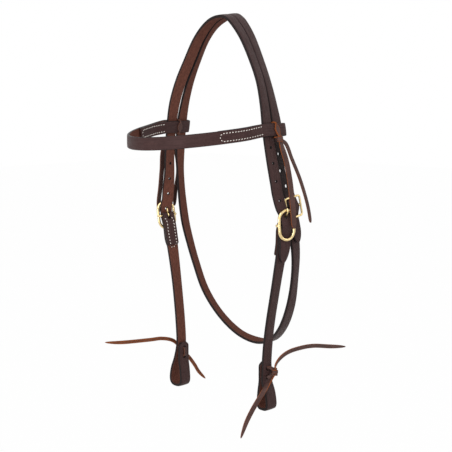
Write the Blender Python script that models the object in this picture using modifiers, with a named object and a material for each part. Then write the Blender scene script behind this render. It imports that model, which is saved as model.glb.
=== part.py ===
"""Western browband headstall, modelled as the leatherworker makes it.

Frame: the horse faces -Y, its left ("near") side is +X, up is +Z. The origin is the middle of the
underside of the crown strap, where the headstall rests on the poll. Lengths are in metres.
"""
import bpy
import bmesh
import numpy as np
from collections import namedtuple
from math import cos, pi, radians, sin, sqrt
from mathutils import Matrix, Vector

# Size of the head that the straps go round. The tables of shares below are multiples of these
SPAN = 0.100            # half the width across the cheeks, at the buckles
DEPTH = 0.100           # fore and aft measure
DROP = 0.4965           # poll to the bottom of the bit loops

# Harness leather
STRAP_WIDTH = 0.0159    # five eighths of an inch, all straps
STRAP_THICK = 0.0040
BROW_THICK = 0.0034     # the browband is cut from lighter leather
CHAPE_THICK = 0.0024    # leather skived thin where it folds round a buckle bar
LINING_THICK = 0.0028   # the turned-back part of a chape
EDGE_ROUND = 0.0006     # burnished corner of every strap
POLL_RISE_DEG = 6.0     # the rear edge of the crown lies higher than its front edge

# Clearances between pieces that touch on the real headstall
SEAT_GAP = 0.00035
LAYER_GAP = 0.0006      # between the sewn layers of one strap
WRAP_GAP = 0.0007       # between the browband and the straps that it goes round
SIDE_GAP = 0.0004       # either side of a string that passes between two straps
STRAP_GAP = 0.0007      # between the two straps that lie side by side over the poll

# Billet holes
HOLE_WIDTH = 0.0042
HOLE_LENGTH = 0.0056
HOLE_PITCH = 0.0212
CHEEK_HOLES = 5
THROAT_HOLES = 4

# Oval centre-bar buckles of the cheeks
OVAL_LENGTH = 0.0400
OVAL_SIDE_GAP = 0.0013  # strap edge to the inside of the rail
OVAL_WIRE = 0.0038
BAR_WIRE = 0.0030
TONGUE_WIRE = 0.0022
HUB_WIRE = 0.0046
OVAL_BAR_DEPTH = 0.0060  # the centre bar stands this far behind the rim
TONGUE_CROSS_SHARE = 0.57   # where the tongue comes up, as a share of the bar-to-rim distance

# Rectangular centre-bar buckle of the throatlatch
SQUARE_LENGTH = 0.0280
SQUARE_SIDE_GAP = 0.0012
SQUARE_WIRE = 0.0027
SQUARE_CORNER = 0.0030
SQUARE_BAR_DEPTH = 0.0058

# Billet tails and chapes, measured from the middle of the buckle
CHEEK_TAIL = 0.0480
CHEEK_CHAPE = 0.0380
THROAT_TAIL = 0.0450
THROAT_CHAPE = 0.0330
TIP_LENGTH = 0.0190     # stretch in which a billet narrows to its rounded point
TIP_WIDTH_SHARE = 0.16

# Bit loops
LOOP_LENGTH = 0.0620    # top of the folded-back tab to the outside of the bottom
LOOP_BULGE_OUT = {"near": 0.0080, "far": 0.0130}   # bent by hand, so not alike
LOOP_BULGE_IN = 0.0030
LOOP_FLAT = 0.0060      # flat seat of the bit in the bottom of the loop
TIE_HOLE_FIRST = 0.0080
TIE_HOLE_PITCH = 0.0110
TIE_HOLE_WIDTH = 0.0056

# Leather strings
STRING_WIDTH = 0.0075   # browband strings
STRING_THICK = 0.0018
LACE_WIDTH = 0.0042     # bit ties
LACE_THICK = 0.0018
KNOT_SIZE = 0.0062      # core of a knot
KNOT_RING = 0.0028      # radius of the turns round the core
KNOT_WIRE = 0.0030
TAB_ROUND = 0.0060      # rounded corners of the tab of a bit loop
TAB_BLUNT_SHARE = 0.55

# Browband
BROW_REACH = 0.118      # how far the band stands forward of the cheek straps
BROW_SAG = 0.0145
BROW_SKEW_SHARE = 0.18  # the lowest point of the band lies towards the far side
BROW_LAP_DEG = 34       # how far round the band the turned-back end is sewn

# How finely curved leather is divided
STATION_STEP = 0.010
STATION_TURN_DEG = 13.0
STATION_TWIST_DEG = 5.0
SHARE_STEP = 0.13
SPLINE_STEP = 0.0006

# Crown strap, from the poll down to the buckles: across, fore and aft, and height in shares of SPAN,
# DEPTH and DROP, then the turn of the outer face towards the front, in degrees, near and far
CROWN_SHARES = [
    (0.150, -0.046, -0.006, 0, 0),
    (0.285, -0.056, -0.020, -3, -3),
    (0.425, -0.075, -0.053, -8, -8),
    (0.572, -0.096, -0.106, -12, -12),
    (0.705, -0.128, -0.162, -12, -12),
    (0.797, -0.153, -0.218, -8, -8),
    (0.855, -0.162, -0.281, 0, 0),
    (0.910, -0.145, -0.348, 8, 2),
    (0.955, -0.112, -0.412, 10, -6),
]
BROW_ROW = 6            # the row where the browband crosses
POLL_BACK_SHARE = -0.040

# Throat strap beside the crown strap: share of the gap that the browband string takes between the
# straps, then the turn of its face, near and far
THROAT_CROWN_ROWS = [
    (0.00, 0, 0),
    (0.00, -3, 3),
    (0.00, -8, 8),
    (0.00, -12, 12),
    (0.15, -14, 14),
    (0.60, -8, 10),
    (1.00, 0, 0),
]
# Throat strap below the browband on both sides, in the same shares as the crown
THROAT_BELOW_SHARES = [
    (0.893, 0.032, -0.350, 2, 7),
    (0.926, 0.062, -0.400, 6, 16),
]
THROAT_FAR_SHARES = [
    (0.958, 0.112, -0.452, 0, 17),
    (0.977, 0.160, -0.500, 0, 13),
]
THROAT_LOW_SHARES = [
    (0.983, 0.213, -0.550, 0, 12),
    (0.961, 0.270, -0.600, -8, 15),
    (0.900, 0.325, -0.660, -16, 18),
    (0.774, 0.395, -0.740, -18, 18),
    (0.560, 0.490, -0.808, -18, 18),
    (0.290, 0.580, -0.853, -10, 10),
]
THROAT_BOTTOM_SHARE = (0.620, -0.866)
THROAT_BOTTOM_TILT_DEG = 35.0

# Cheek straps between buckle and bit loop: across, fore and aft, height, turn near and far
CHEEK_SHARES = [
    (0.935, -0.047, -0.648, -1, -6),
    (0.885, -0.052, -0.704, -3, 1),
    (0.842, -0.060, -0.756, -3, 2),
    (0.805, -0.066, -0.812, -2, 1),
]
LOOP_TOP_SHARE = (0.784, -0.070, -0.870)

# Buckle places: across, fore and aft, height, turn of the face, and the lean of the strap there
CHEEK_BUCKLE_SHARES = {
    "near": (1.090, -0.060, -0.513, 11, (0.02, 0.05)),
    "far": (1.072, -0.060, -0.525, -24, (-0.12, 0.05)),
}
THROAT_BUCKLE_SHARES = (1.015, 0.157, -0.473, 8, (0.08, 0.17))

# Free ends of the strings, from the knot to the tip: places as shares of SPAN, DEPTH and DROP from
# the knot, outwards, backwards and upwards, then the direction of the string's width there
NEAR_BROW_UPPER_SHARES = [
    ((0.000, 0.110, -0.012), (0.0, 0.5, 0.9)),
    ((0.013, 0.211, -0.050), (0.0, 0.9, 0.5)),
    ((0.033, 0.351, -0.104), (0.0, 0.9, 0.5)),
    ((0.053, 0.479, -0.171), (0.0, 1.0, 0.3)),
    ((0.063, 0.529, -0.216), (0.0, 1.0, 0.2)),
]
NEAR_BROW_LOWER_SHARES = [
    ((0.000, 0.054, -0.020), (0.0, 0.9, 0.5)),
    ((0.023, 0.118, -0.054), (0.1, 0.9, 0.3)),
    ((0.063, 0.153, -0.096), (0.0, 1.0, 0.2)),
    ((0.113, 0.148, -0.134), (0.0, 1.0, 0.0)),
    ((0.148, 0.136, -0.164), (0.0, 1.0, 0.0)),
    ((0.183, 0.095, -0.220), (0.0, 1.0, 0.0)),
]
FAR_BROW_UPPER_SHARES = [
    ((0.040, -0.090, -0.045), (0.0, 0.9, -0.4)),
    ((0.090, -0.130, -0.097), (0.0, 1.0, -0.2)),
    ((0.155, -0.080, -0.147), (0.0, 1.0, 0.1)),
    ((0.200, -0.030, -0.187), (0.0, 1.0, 0.1)),
    ((0.215, -0.010, -0.218), (0.0, 1.0, 0.1)),
]
FAR_BROW_LOWER_SHARES = [
    ((0.010, 0.110, -0.045), (0.0, 0.9, 0.5)),
    ((0.025, 0.168, -0.100), (0.0, 1.0, 0.2)),
    ((0.063, 0.157, -0.155), (0.0, 1.0, 0.0)),
    ((0.083, 0.151, -0.200), (0.0, 1.0, 0.0)),
]
NEAR_BIT_UPPER_SHARES = [
    ((0.015, 0.006, 0.0200), (0.3, -0.9, 0.1)),
    ((0.030, 0.075, 0.0350), (0.1, -0.7, 0.7)),
    ((0.050, 0.196, 0.0460), (0.0, -0.4, 0.9)),
    ((0.070, 0.419, 0.0500), (0.0, -0.1, 1.0)),
    ((0.090, 0.646, 0.0480), (0.0, 0.0, 1.0)),
    ((0.120, 0.987, 0.0350), (0.0, 0.2, 1.0)),
    ((0.150, 1.257, 0.0260), (0.0, 0.2, 1.0)),
]
NEAR_BIT_LOWER_SHARES = [
    ((0.020, -0.069, -0.011), (0.1, 0.6, -0.8)),
    ((0.030, -0.236, -0.037), (0.2, 0.6, -0.8)),
    ((0.030, -0.420, -0.073), (0.2, 0.7, -0.7)),
    ((0.030, -0.555, -0.105), (0.1, 0.8, -0.6)),
    ((0.030, -0.659, -0.142), (0.1, 0.9, -0.5)),
]
FAR_BIT_UPPER_SHARES = [
    ((0.010, -0.124, 0.0260), (0.0, 0.7, 0.7)),
    ((0.030, -0.315, 0.0390), (0.0, 0.3, 0.9)),
    ((0.050, -0.524, 0.0420), (0.0, 0.1, 1.0)),
    ((0.120, -0.969, 0.0480), (0.0, 0.1, 1.0)),
    ((0.160, -1.211, 0.0550), (0.0, 0.1, 1.0)),
]
FAR_BIT_LOWER_SHARES = [
    ((0.000, 0.150, -0.029), (0.0, 0.7, 0.7)),
    ((0.000, 0.266, -0.057), (0.0, 0.8, 0.6)),
    ((0.000, 0.335, -0.077), (0.0, 0.8, 0.6)),
    ((0.000, 0.469, -0.104), (0.0, 0.8, 0.6)),
]

# One row of a route: a place, the direction of the strap's width, shares of width and thickness, and
# whether a section is set exactly there
Row = namedtuple("Row", "place across width thick held", defaults=(1.0, 1.0, 0.0))
# A place on the headstall with the directions down the strap, outwards and backwards
Seat = namedtuple("Seat", "origin down out back")
Buckle = namedtuple("Buckle", "seat length half_width wire bar_depth corner")

SIDES = {"near": 1, "far": -1}
HEAD = Vector((SPAN, DEPTH, DROP))


def on_head(across, back, up, side=1):
    """Place given in shares of the head's size, on the near (1) or far (-1) side."""
    return Vector((side * across * SPAN, back * DEPTH, up * DROP))


def width_dir(turn_deg, side):
    """Backward width direction of an upright strap whose outer face is turned to the front."""
    turn = radians(turn_deg)
    return Vector((side * sin(turn), cos(turn), 0))


def seat_at(origin, turn_deg, lean, side):
    """Local directions of an upright stretch of strap; lean is its slope outwards and backwards."""
    down = Vector((side * lean[0], lean[1], -1)).normalized()
    back = width_dir(turn_deg, side)
    back = (back - down * back.dot(down)).normalized()
    return Seat(origin, down, side * down.cross(back), back)


def at(seat, down=0.0, out=0.0, back=0.0):
    """Place given along the directions of a seat."""
    return seat.origin + seat.down * down + seat.out * out + seat.back * back


def seat_matrix(seat, down=0.0, out=0.0, back=0.0):
    """Local X runs down the strap, Y backwards and Z outwards or inwards, right-handed."""
    z = seat.down.cross(seat.back)
    turn = Matrix((seat.down, seat.back, z)).transposed().to_4x4()
    return Matrix.Translation(at(seat, down, out, back)) @ turn


def collection(name):
    """New collection in the scene."""
    made = bpy.data.collections.new(name)
    bpy.context.scene.collection.children.link(made)
    return made


def add_object(name, mesh, group, material=None):
    """New object from a mesh."""
    made = bpy.data.objects.new(name, mesh)
    group.objects.link(made)
    if material:
        mesh.materials.append(material)
    return made


def material(name, colour, rough, metal):
    """Principled material."""
    made = bpy.data.materials.new(name)
    made.use_nodes = True
    shader = made.node_tree.nodes["Principled BSDF"]
    shader.inputs["Base Color"].default_value = (*colour, 1)
    shader.inputs["Roughness"].default_value = rough
    shader.inputs["Metallic"].default_value = metal
    made.diffuse_color = (*colour, 1)
    return made


def spline(rows):
    """Centripetal spline through the rows, read every SPLINE_STEP: places and the other columns."""
    data = np.array([[*r.place, *r.across.normalized(), *r[2:]] for r in rows])
    gaps = np.linalg.norm(np.diff(data[:, :3], axis=0), axis=1)
    knots = np.concatenate([[0], np.cumsum(np.sqrt(gaps))])
    data = np.vstack([2 * data[0] - data[1], data, 2 * data[-1] - data[-2]])
    knots = np.concatenate([[2 * knots[0] - knots[1]], knots, [2 * knots[-1] - knots[-2]]])
    read = []
    for i in range(1, len(knots) - 2):
        t0, t1, t2, t3 = knots[i - 1:i + 3]
        p0, p1, p2, p3 = data[i - 1:i + 3]
        count = max(2, int(np.ceil(gaps[i - 1] / SPLINE_STEP)))
        t = np.linspace(t1, t2, count, endpoint=False)[:, None]
        a1 = (t1 - t) / (t1 - t0) * p0 + (t - t0) / (t1 - t0) * p1
        a2 = (t2 - t) / (t2 - t1) * p1 + (t - t1) / (t2 - t1) * p2
        a3 = (t3 - t) / (t3 - t2) * p2 + (t - t2) / (t3 - t2) * p3
        b1 = (t2 - t) / (t2 - t0) * a1 + (t - t0) / (t2 - t0) * a2
        b2 = (t3 - t) / (t3 - t1) * a2 + (t - t1) / (t3 - t1) * a3
        read.append((t2 - t) / (t2 - t1) * b1 + (t - t1) / (t2 - t1) * b2)
    return np.vstack(read + [data[-2:-1]])


def layer_rows(rows, places, depth, inward, thick=1.0):
    """Second layer of leather, parallel to a route, beside the given places on it."""
    data = spline(rows)
    place = data[:, :3]
    layer = []
    for wanted in places:
        i = int(np.argmin(np.linalg.norm(place - np.array(wanted), axis=1)))
        i = min(max(i, 1), len(place) - 2)
        down = Vector(place[i + 1] - place[i - 1]).normalized()
        across = Vector(data[i, 3:6])
        across = (across - down * across.dot(down)).normalized()
        side = inward * down.cross(across)
        layer.append(Row(Vector(place[i]) + side * depth, across, 1, thick))
    return layer


def tip_share(distance, length, blunt):
    """Width share of a rounded point, at a distance from its end."""
    if distance >= length:
        return 1.0
    return max(blunt, sqrt(1 - (1 - distance / length) ** 2))


def stations(rows, start_tip=0.0, end_tip=0.0, blunt=TIP_WIDTH_SHARE):
    """Places where a strap's section is set, closer together in bends, twists and points."""
    data = spline(rows)
    place = data[:, :3]
    along = np.concatenate([[0], np.cumsum(np.linalg.norm(np.diff(place, axis=0), axis=1))])
    tangent = np.gradient(place, axis=0)
    tangent /= np.linalg.norm(tangent, axis=1)[:, None]
    across = data[:, 3:6] - tangent * np.sum(data[:, 3:6] * tangent, axis=1)[:, None]
    across /= np.linalg.norm(across, axis=1)[:, None]
    share = data[:, 6].copy()
    for i, s in enumerate(along):
        share[i] *= tip_share(s, start_tip, blunt) * tip_share(along[-1] - s, end_tip, blunt)
    limit, twist_limit = cos(radians(STATION_TURN_DEG)), cos(radians(STATION_TWIST_DEG))
    held = np.isclose(data[:, -1], 1)
    kept = [0]
    for i in range(1, len(along) - 1):
        k = kept[-1]
        turned = tangent[i] @ tangent[k] < limit or across[i] @ across[k] < twist_limit
        far = along[i] - along[k] > STATION_STEP or abs(share[i] - share[k]) > SHARE_STEP
        if held[i] and not held[k] and along[i] - along[k] < 2 * EDGE_ROUND:
            kept.pop()
        if held[i] or turned or far:
            kept.append(i)
    if along[-1] - along[kept[-1]] < EDGE_ROUND and len(kept) > 1:
        kept.pop()
    kept.append(len(along) - 1)
    return place[kept], tangent[kept], across[kept], share[kept], data[kept, 7]


def ribbon(name, rows, width, thick, group, look, start_tip=0.0, end_tip=0.0, blunt=TIP_WIDTH_SHARE,
           rounding=EDGE_ROUND):
    """Strap: an open surface along the route, given its thickness and its burnished corners."""
    place, _, across, share, full = stations(rows, start_tip, end_tip, blunt)
    half = (across.T * share * width / 2).T
    mesh = bpy.data.meshes.new(name)
    shell = bmesh.new()
    left = [shell.verts.new(p) for p in place - half]
    right = [shell.verts.new(p) for p in place + half]
    for i in range(len(left) - 1):
        shell.faces.new((left[i], left[i + 1], right[i + 1], right[i]))
    shell.to_mesh(mesh)
    shell.free()
    strap = add_object(name, mesh, group, look)
    skive = strap.vertex_groups.new(name="full thickness")
    thinnest = float(full.min())
    for i, value in enumerate(full):
        weight = 1.0 if thinnest == 1.0 else (value - thinnest) / (1.0 - thinnest)
        skive.add([i, i + len(left)], float(np.clip(weight, 0, 1)), "REPLACE")
    wall = strap.modifiers.new("Thickness", "SOLIDIFY")
    wall.thickness = thick
    wall.offset = 0
    wall.vertex_group = skive.name
    wall.thickness_vertex_group = thinnest
    edge = strap.modifiers.new("Burnished corners", "BEVEL")
    edge.width = rounding
    edge.segments = 1
    edge.limit_method = "ANGLE"
    edge.angle_limit = radians(50)
    return strap


def cut(target, cutter):
    """Cut one object out of another."""
    cutter.hide_render = True
    cutter.display_type = "WIRE"
    boolean = target.modifiers.new("Cut " + cutter.name, "BOOLEAN")
    boolean.operation = "DIFFERENCE"
    boolean.object = cutter


def punch(name, target, places, cutters):
    """Holes: one cutter with a round or oval plug at each place (matrix, length, width, depth)."""
    mesh = bpy.data.meshes.new(name)
    plugs = bmesh.new()
    for matrix, length, width, depth in places:
        size = Matrix.Diagonal((length / 2, width / 2, depth, 1))
        bmesh.ops.create_cone(plugs, cap_ends=True, segments=12, radius1=1, radius2=1, depth=1,
                              matrix=matrix @ size)
    bmesh.ops.recalc_face_normals(plugs, faces=plugs.faces)
    plugs.to_mesh(mesh)
    plugs.free()
    cut(target, add_object(name, mesh, cutters))


def wire(name, points, diameter, group, closed=False, resolution=2):
    """Round bar along the points, as a closed mesh."""
    curve = bpy.data.curves.new(name, "CURVE")
    curve.dimensions = "3D"
    curve.bevel_depth = diameter / 2
    curve.bevel_resolution = resolution
    curve.use_fill_caps = not closed
    path = curve.splines.new("POLY")
    path.points.add(len(points) - 1)
    for point, place in zip(path.points, points):
        point.co = (*place, 1)
    path.use_cyclic_u = closed
    guide = bpy.data.objects.new(name + " curve", curve)
    group.objects.link(guide)
    bpy.context.view_layer.update()
    graph = bpy.context.evaluated_depsgraph_get()
    mesh = bpy.data.meshes.new_from_object(guide.evaluated_get(graph))
    mesh.name = name
    bpy.data.objects.remove(guide)
    shell = bmesh.new()
    shell.from_mesh(mesh)
    bmesh.ops.remove_doubles(shell, verts=shell.verts, dist=0.00001)
    bmesh.ops.recalc_face_normals(shell, faces=shell.faces)
    shell.to_mesh(mesh)
    shell.free()
    return add_object(name, mesh, group)


def ball(name, place, diameter, group):
    """Small cast ball."""
    mesh = bpy.data.meshes.new(name)
    shell = bmesh.new()
    bmesh.ops.create_uvsphere(shell, u_segments=10, v_segments=6, radius=diameter / 2)
    bmesh.ops.translate(shell, verts=shell.verts, vec=place)
    shell.to_mesh(mesh)
    shell.free()
    return add_object(name, mesh, group)


def fuse(name, pieces, group, look):
    """Join overlapping pieces into one closed body and drop the loose ones."""
    base = pieces[0]
    for other in pieces[1:]:
        boolean = base.modifiers.new("Join " + other.name, "BOOLEAN")
        boolean.operation = "UNION"
        boolean.object = other
    bpy.context.view_layer.update()
    graph = bpy.context.evaluated_depsgraph_get()
    mesh = bpy.data.meshes.new_from_object(base.evaluated_get(graph))
    for piece in pieces:
        bpy.data.objects.remove(piece)
    mesh.name = name
    mesh.materials.clear()
    return add_object(name, mesh, group, look)


def set_origin(thing, place):
    """Put an object's origin on its joint axis and leave its shape where it is."""
    thing.data.transform(Matrix.Translation(-place))
    thing.location = place


def smooth(thing):
    """Round pieces are shaded smooth."""
    thing.data.shade_smooth()
    thing.data.set_sharp_from_angle(angle=radians(40))


def oval_buckle(side):
    """Cheek buckle, from its place on the head."""
    across, back, up, turn, lean = CHEEK_BUCKLE_SHARES[side]
    seat = seat_at(on_head(across, back, up, SIDES[side]), turn, lean, SIDES[side])
    half_width = STRAP_WIDTH / 2 + OVAL_SIDE_GAP + OVAL_WIRE / 2
    return Buckle(seat, OVAL_LENGTH, half_width, OVAL_WIRE, OVAL_BAR_DEPTH, half_width)


def square_buckle():
    """Throatlatch buckle, from its place on the head."""
    across, back, up, turn, lean = THROAT_BUCKLE_SHARES
    seat = seat_at(on_head(across, back, up), turn, lean, 1)
    half_width = STRAP_WIDTH / 2 + SQUARE_SIDE_GAP + SQUARE_WIRE / 2
    return Buckle(seat, SQUARE_LENGTH, half_width, SQUARE_WIRE, SQUARE_BAR_DEPTH, SQUARE_CORNER)


def rim_half_length(buckle):
    """Middle of the buckle to the middle of the rim's wire, along the strap."""
    return (buckle.length - buckle.wire) / 2


def rim_points(buckle):
    """Middle line of the rim: a rectangle whose corners are rounded by the buckle's corner radius."""
    half = rim_half_length(buckle)
    radius = min(buckle.corner, buckle.half_width)
    steps = 6
    points = []
    for down, back, start in ((1, 1, 0), (-1, 1, 90), (-1, -1, 180), (1, -1, 270)):
        for k in range(steps + 1):
            turn = radians(start + 90 * k / steps)
            points.append((down * (half - radius) + radius * cos(turn),
                           back * (buckle.half_width - radius) + radius * sin(turn)))
    kept = [p for i, p in enumerate(points) if (Vector(p) - Vector(points[i - 1])).length > SEAT_GAP]
    return [at(buckle.seat, down, 0.0, back) for down, back in kept]


def rim_crossing(buckle):
    """How far from the middle the rim crosses the edges of the strap."""
    radius = min(buckle.corner, buckle.half_width)
    edge = max(0.0, STRAP_WIDTH / 2 - (buckle.half_width - radius))
    return rim_half_length(buckle) - radius + sqrt(radius ** 2 - edge ** 2)


def billet_under(buckle):
    """Outward place of a billet's middle where it passes behind the rim."""
    return -(buckle.wire / 2 + SEAT_GAP + STRAP_THICK / 2)


def billet_over(buckle):
    """Outward place of a billet's middle where it passes over the chape on the bar."""
    return -buckle.bar_depth + BAR_WIRE / 2 + SEAT_GAP + CHAPE_THICK + SEAT_GAP + STRAP_THICK / 2


def near_rim(buckle):
    """Where the straps begin to pass the rim, measured from the bar."""
    return rim_crossing(buckle) - buckle.wire / 4


def billet_level(buckle, down):
    """Outward place of a billet's middle between the rim's two crossings."""
    under, over = billet_under(buckle), billet_over(buckle)
    return under + (over - under) * cos(pi / 2 * down / near_rim(buckle)) ** 2


def billet_rows(buckle, tail, onward, side):
    """Billet through its buckle: behind the rim, over the bar, behind the rim, down on the chape."""
    seat, under = buckle.seat, billet_under(buckle)
    half, rim = rim_half_length(buckle), near_rim(buckle)
    above = [
        Row(at(seat, -2 * half, under - STRAP_THICK), seat.back),
        Row(at(seat, -half - buckle.wire / 2, under - STRAP_THICK / 6), seat.back),
    ]
    through = [Row(at(seat, rim * k / 2, billet_level(buckle, rim * k / 2)), seat.back)
               for k in range(-2, 3)]
    outside = chape_outside(buckle)
    levels = [rim + (tail - rim) * k / 3 for k in range(1, 4)]
    places = [at(seat, level, chape_level(buckle)) for level in levels]
    below = layer_rows(outside + onward, places, -STRAP_THICK - WRAP_GAP, -side)
    return above + through + below


def tongue_crossing(buckle):
    """How far above the bar the tongue comes up through the billet."""
    return rim_half_length(buckle) * TONGUE_CROSS_SHARE


def chape_level(buckle):
    """Outward place of the middle of the chape's outer layer at the rim."""
    return billet_under(buckle) - STRAP_THICK - LAYER_GAP


def fold_radius():
    """Radius of the middle of the chape's leather round the bar."""
    return BAR_WIRE / 2 + SEAT_GAP + CHAPE_THICK / 2


def chape_outside(buckle):
    """Outer layer of the chape, from the fold to below the rim."""
    seat, outer, rim = buckle.seat, chape_level(buckle), near_rim(buckle)
    start = -buckle.bar_depth + fold_radius()
    nearly = (1 + CHAPE_THICK / STRAP_THICK) / 2
    return [
        Row(at(seat, rim / 2, (outer + start) / 2 - LAYER_GAP / 2), seat.back, 1, nearly),
        Row(at(seat, rim, outer), seat.back),
        Row(at(seat, rim * 1.5, outer), seat.back),
    ]


def chape_rows(buckle, length, onward, side):
    """Chape: up the inside, round the bar and down the outside, leather skived at the fold."""
    seat, bar, fold, rim = buckle.seat, -buckle.bar_depth, fold_radius(), near_rim(buckle)
    thin, lining = CHAPE_THICK / STRAP_THICK, LINING_THICK / STRAP_THICK
    outside = chape_outside(buckle)
    depth = (STRAP_THICK + LINING_THICK) / 2 + LAYER_GAP
    levels = [rim + (length - rim) * k / 3 for k in range(4)]
    places = [at(seat, level, chape_level(buckle)) for level in levels]
    inside = layer_rows(outside + onward, places, depth, -side, lining)
    inner = (chape_level(buckle) - depth + bar - fold) / 2 - LAYER_GAP / 2
    inside.insert(0, Row(at(seat, rim / 2, inner), seat.back, 1, lining))
    turn = []
    for k in range(7):
        angle = radians(180 * k / 6)
        place = at(seat, -fold * sin(angle), bar - fold * cos(angle))
        turn.append(Row(place, seat.back, 1, thin))
    return inside[::-1] + turn + outside


def buckle_holes(buckle, count, rows):
    """Hole places up the billet from the tongue's, read along the strap's own route."""
    data = spline(rows)
    place = data[:, :3]
    level = np.argmin(np.linalg.norm(place - np.array(at(buckle.seat)), axis=1))
    along = np.concatenate([[0], np.cumsum(np.linalg.norm(np.diff(place, axis=0), axis=1))])
    holes = []
    for k in range(count):
        wanted = along[level] - tongue_crossing(buckle) - k * HOLE_PITCH
        i = int(np.argmin(np.abs(along - wanted)))
        down = Vector(place[i + 1] - place[i - 1]).normalized()
        back = Vector(data[i, 3:6])
        back = (back - down * back.dot(down)).normalized()
        turn = Matrix((down, back, down.cross(back))).transposed().to_4x4()
        length = HOLE_LENGTH if k == 0 else HOLE_WIDTH
        holes.append((Matrix.Translation(Vector(place[i])) @ turn, length, HOLE_WIDTH, 2 * STRAP_THICK))
    return holes


def crown_rows(side):
    """Crown strap from the poll down one side."""
    rows = []
    for across, back, up, near_turn, far_turn in CROWN_SHARES:
        turn = near_turn if side == "near" else far_turn
        rows.append(Row(on_head(across, back, up, SIDES[side]), width_dir(turn, SIDES[side])))
    return rows


def poll_across():
    """Width direction of both straps on top of the poll."""
    rise = radians(POLL_RISE_DEG)
    return Vector((0, cos(rise), sin(rise)))


def poll_lift():
    """Lowest line of the crown strap rests at the origin's height."""
    return Vector((0, 0, STRAP_THICK / 2))


def level_out(row, first):
    """Near the poll the width direction still leans as it does on top."""
    return Row(row.place + poll_lift() * first, (row.across + poll_across() * first).normalized())


def cheek_route(side):
    """Middle of a cheek strap from below its chape to the top of the bit loop."""
    seat = loop_seat(side)
    return share_rows(CHEEK_SHARES, side) + [Row(seat.origin, seat.back)]


def crown_strap(group, cutters, look, buckles):
    """Crown strap: over the poll, with a billet down each side."""
    top = Row(on_head(0, POLL_BACK_SHARE, 0) + poll_lift(), poll_across())
    near, far = crown_rows("near"), crown_rows("far")
    near[0], far[0] = level_out(near[0], 1), level_out(far[0], 1)
    near_end, far_end = [billet_rows(buckles[side], CHEEK_TAIL, cheek_route(side), SIDES[side])
                         for side in ("near", "far")]
    rows = far_end[::-1] + far[::-1] + [top] + near + near_end
    strap = ribbon("crown_strap", rows, STRAP_WIDTH, STRAP_THICK, group, look, TIP_LENGTH, TIP_LENGTH)
    near_holes = buckle_holes(buckles["near"], CHEEK_HOLES, rows)
    far_holes = buckle_holes(buckles["far"], CHEEK_HOLES, rows[::-1])
    punch("crown billet holes", strap, near_holes + far_holes, cutters)
    return strap


def brow_gap():
    """Gap between the two straps where the browband string passes between them."""
    return STRING_THICK + 2 * SIDE_GAP


def beside_crown(side):
    """Throat strap lying behind the crown strap, from the poll to the browband."""
    rows = []
    for crown, (share, near_turn, far_turn) in zip(CROWN_SHARES, THROAT_CROWN_ROWS):
        turn = near_turn if side == "near" else far_turn
        gap = STRAP_GAP + share * (brow_gap() - STRAP_GAP)
        behind = width_dir(crown[3], SIDES[side]) * (STRAP_WIDTH + gap)
        place = on_head(crown[0], crown[1], crown[2], SIDES[side]) + behind
        rows.append(Row(place, width_dir(turn, SIDES[side])))
    return rows


def share_rows(table, side):
    """Rows of a table of shares, on one side of the head."""
    rows = []
    for across, back, up, near_turn, far_turn in table:
        turn = near_turn if side == "near" else far_turn
        rows.append(Row(on_head(across, back, up, SIDES[side]), width_dir(turn, SIDES[side])))
    return rows


def throat_strap(group, cutters, look, buckle):
    """Throat strap: near billet, over the poll, down the far side and back under the throat."""
    behind = poll_across() * (STRAP_WIDTH + STRAP_GAP)
    top = Row(on_head(0, POLL_BACK_SHARE, 0) + poll_lift() + behind, poll_across())
    near, far = beside_crown("near"), beside_crown("far")
    near[0], far[0] = level_out(near[0], 1), level_out(far[0], 1)
    tilt = radians(THROAT_BOTTOM_TILT_DEG)
    bottom = Row(on_head(0, *THROAT_BOTTOM_SHARE), Vector((0, cos(tilt), sin(tilt))))
    upper = near + share_rows(THROAT_BELOW_SHARES, "near")
    far_side = far + share_rows(THROAT_BELOW_SHARES + THROAT_FAR_SHARES, "far")
    loop = share_rows(THROAT_LOW_SHARES, "far") + [bottom] + share_rows(THROAT_LOW_SHARES, "near")[::-1]
    chape = chape_rows(buckle, THROAT_CHAPE, loop[::-1], 1)
    billet = upper + billet_rows(buckle, THROAT_TAIL, loop[::-1], 1)
    rows = billet[::-1] + [top] + far_side + loop + chape[::-1]
    strap = ribbon("throat_strap", rows, STRAP_WIDTH, STRAP_THICK, group, look, TIP_LENGTH, 0.0)
    holes = buckle_holes(buckle, THROAT_HOLES, [top] + billet)
    punch("throat billet holes", strap, holes, cutters)
    slot("throat tongue slot", strap, buckle, cutters)
    return strap


def slot(name, target, buckle, cutters):
    """Slot in the fold of a chape, where the tongue sits on the bar."""
    eye = BAR_WIRE / 2 + SEAT_GAP + TONGUE_WIRE
    length = 2 * eye + 4 * SEAT_GAP
    width = TONGUE_WIRE + 4 * SEAT_GAP
    outer = fold_radius() + (CHAPE_THICK + SEAT_GAP) / 2
    inner = fold_radius() + LINING_THICK + 2 * LAYER_GAP
    middle = -buckle.bar_depth + (outer - inner) / 2
    mesh = bpy.data.meshes.new(name)
    box = bmesh.new()
    size = Matrix.Diagonal((length, width, outer + inner, 1))
    bmesh.ops.create_cube(box, size=1, matrix=seat_matrix(buckle.seat, 0.0, middle) @ size)
    bmesh.ops.recalc_face_normals(box, faces=box.faces)
    box.to_mesh(mesh)
    box.free()
    cut(target, add_object(name, mesh, cutters))


def loop_seat(side):
    """Top of the bit loop, with its local directions."""
    return seat_at(on_head(*LOOP_TOP_SHARE, SIDES[side]), 0, (0, 0), SIDES[side])


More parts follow.
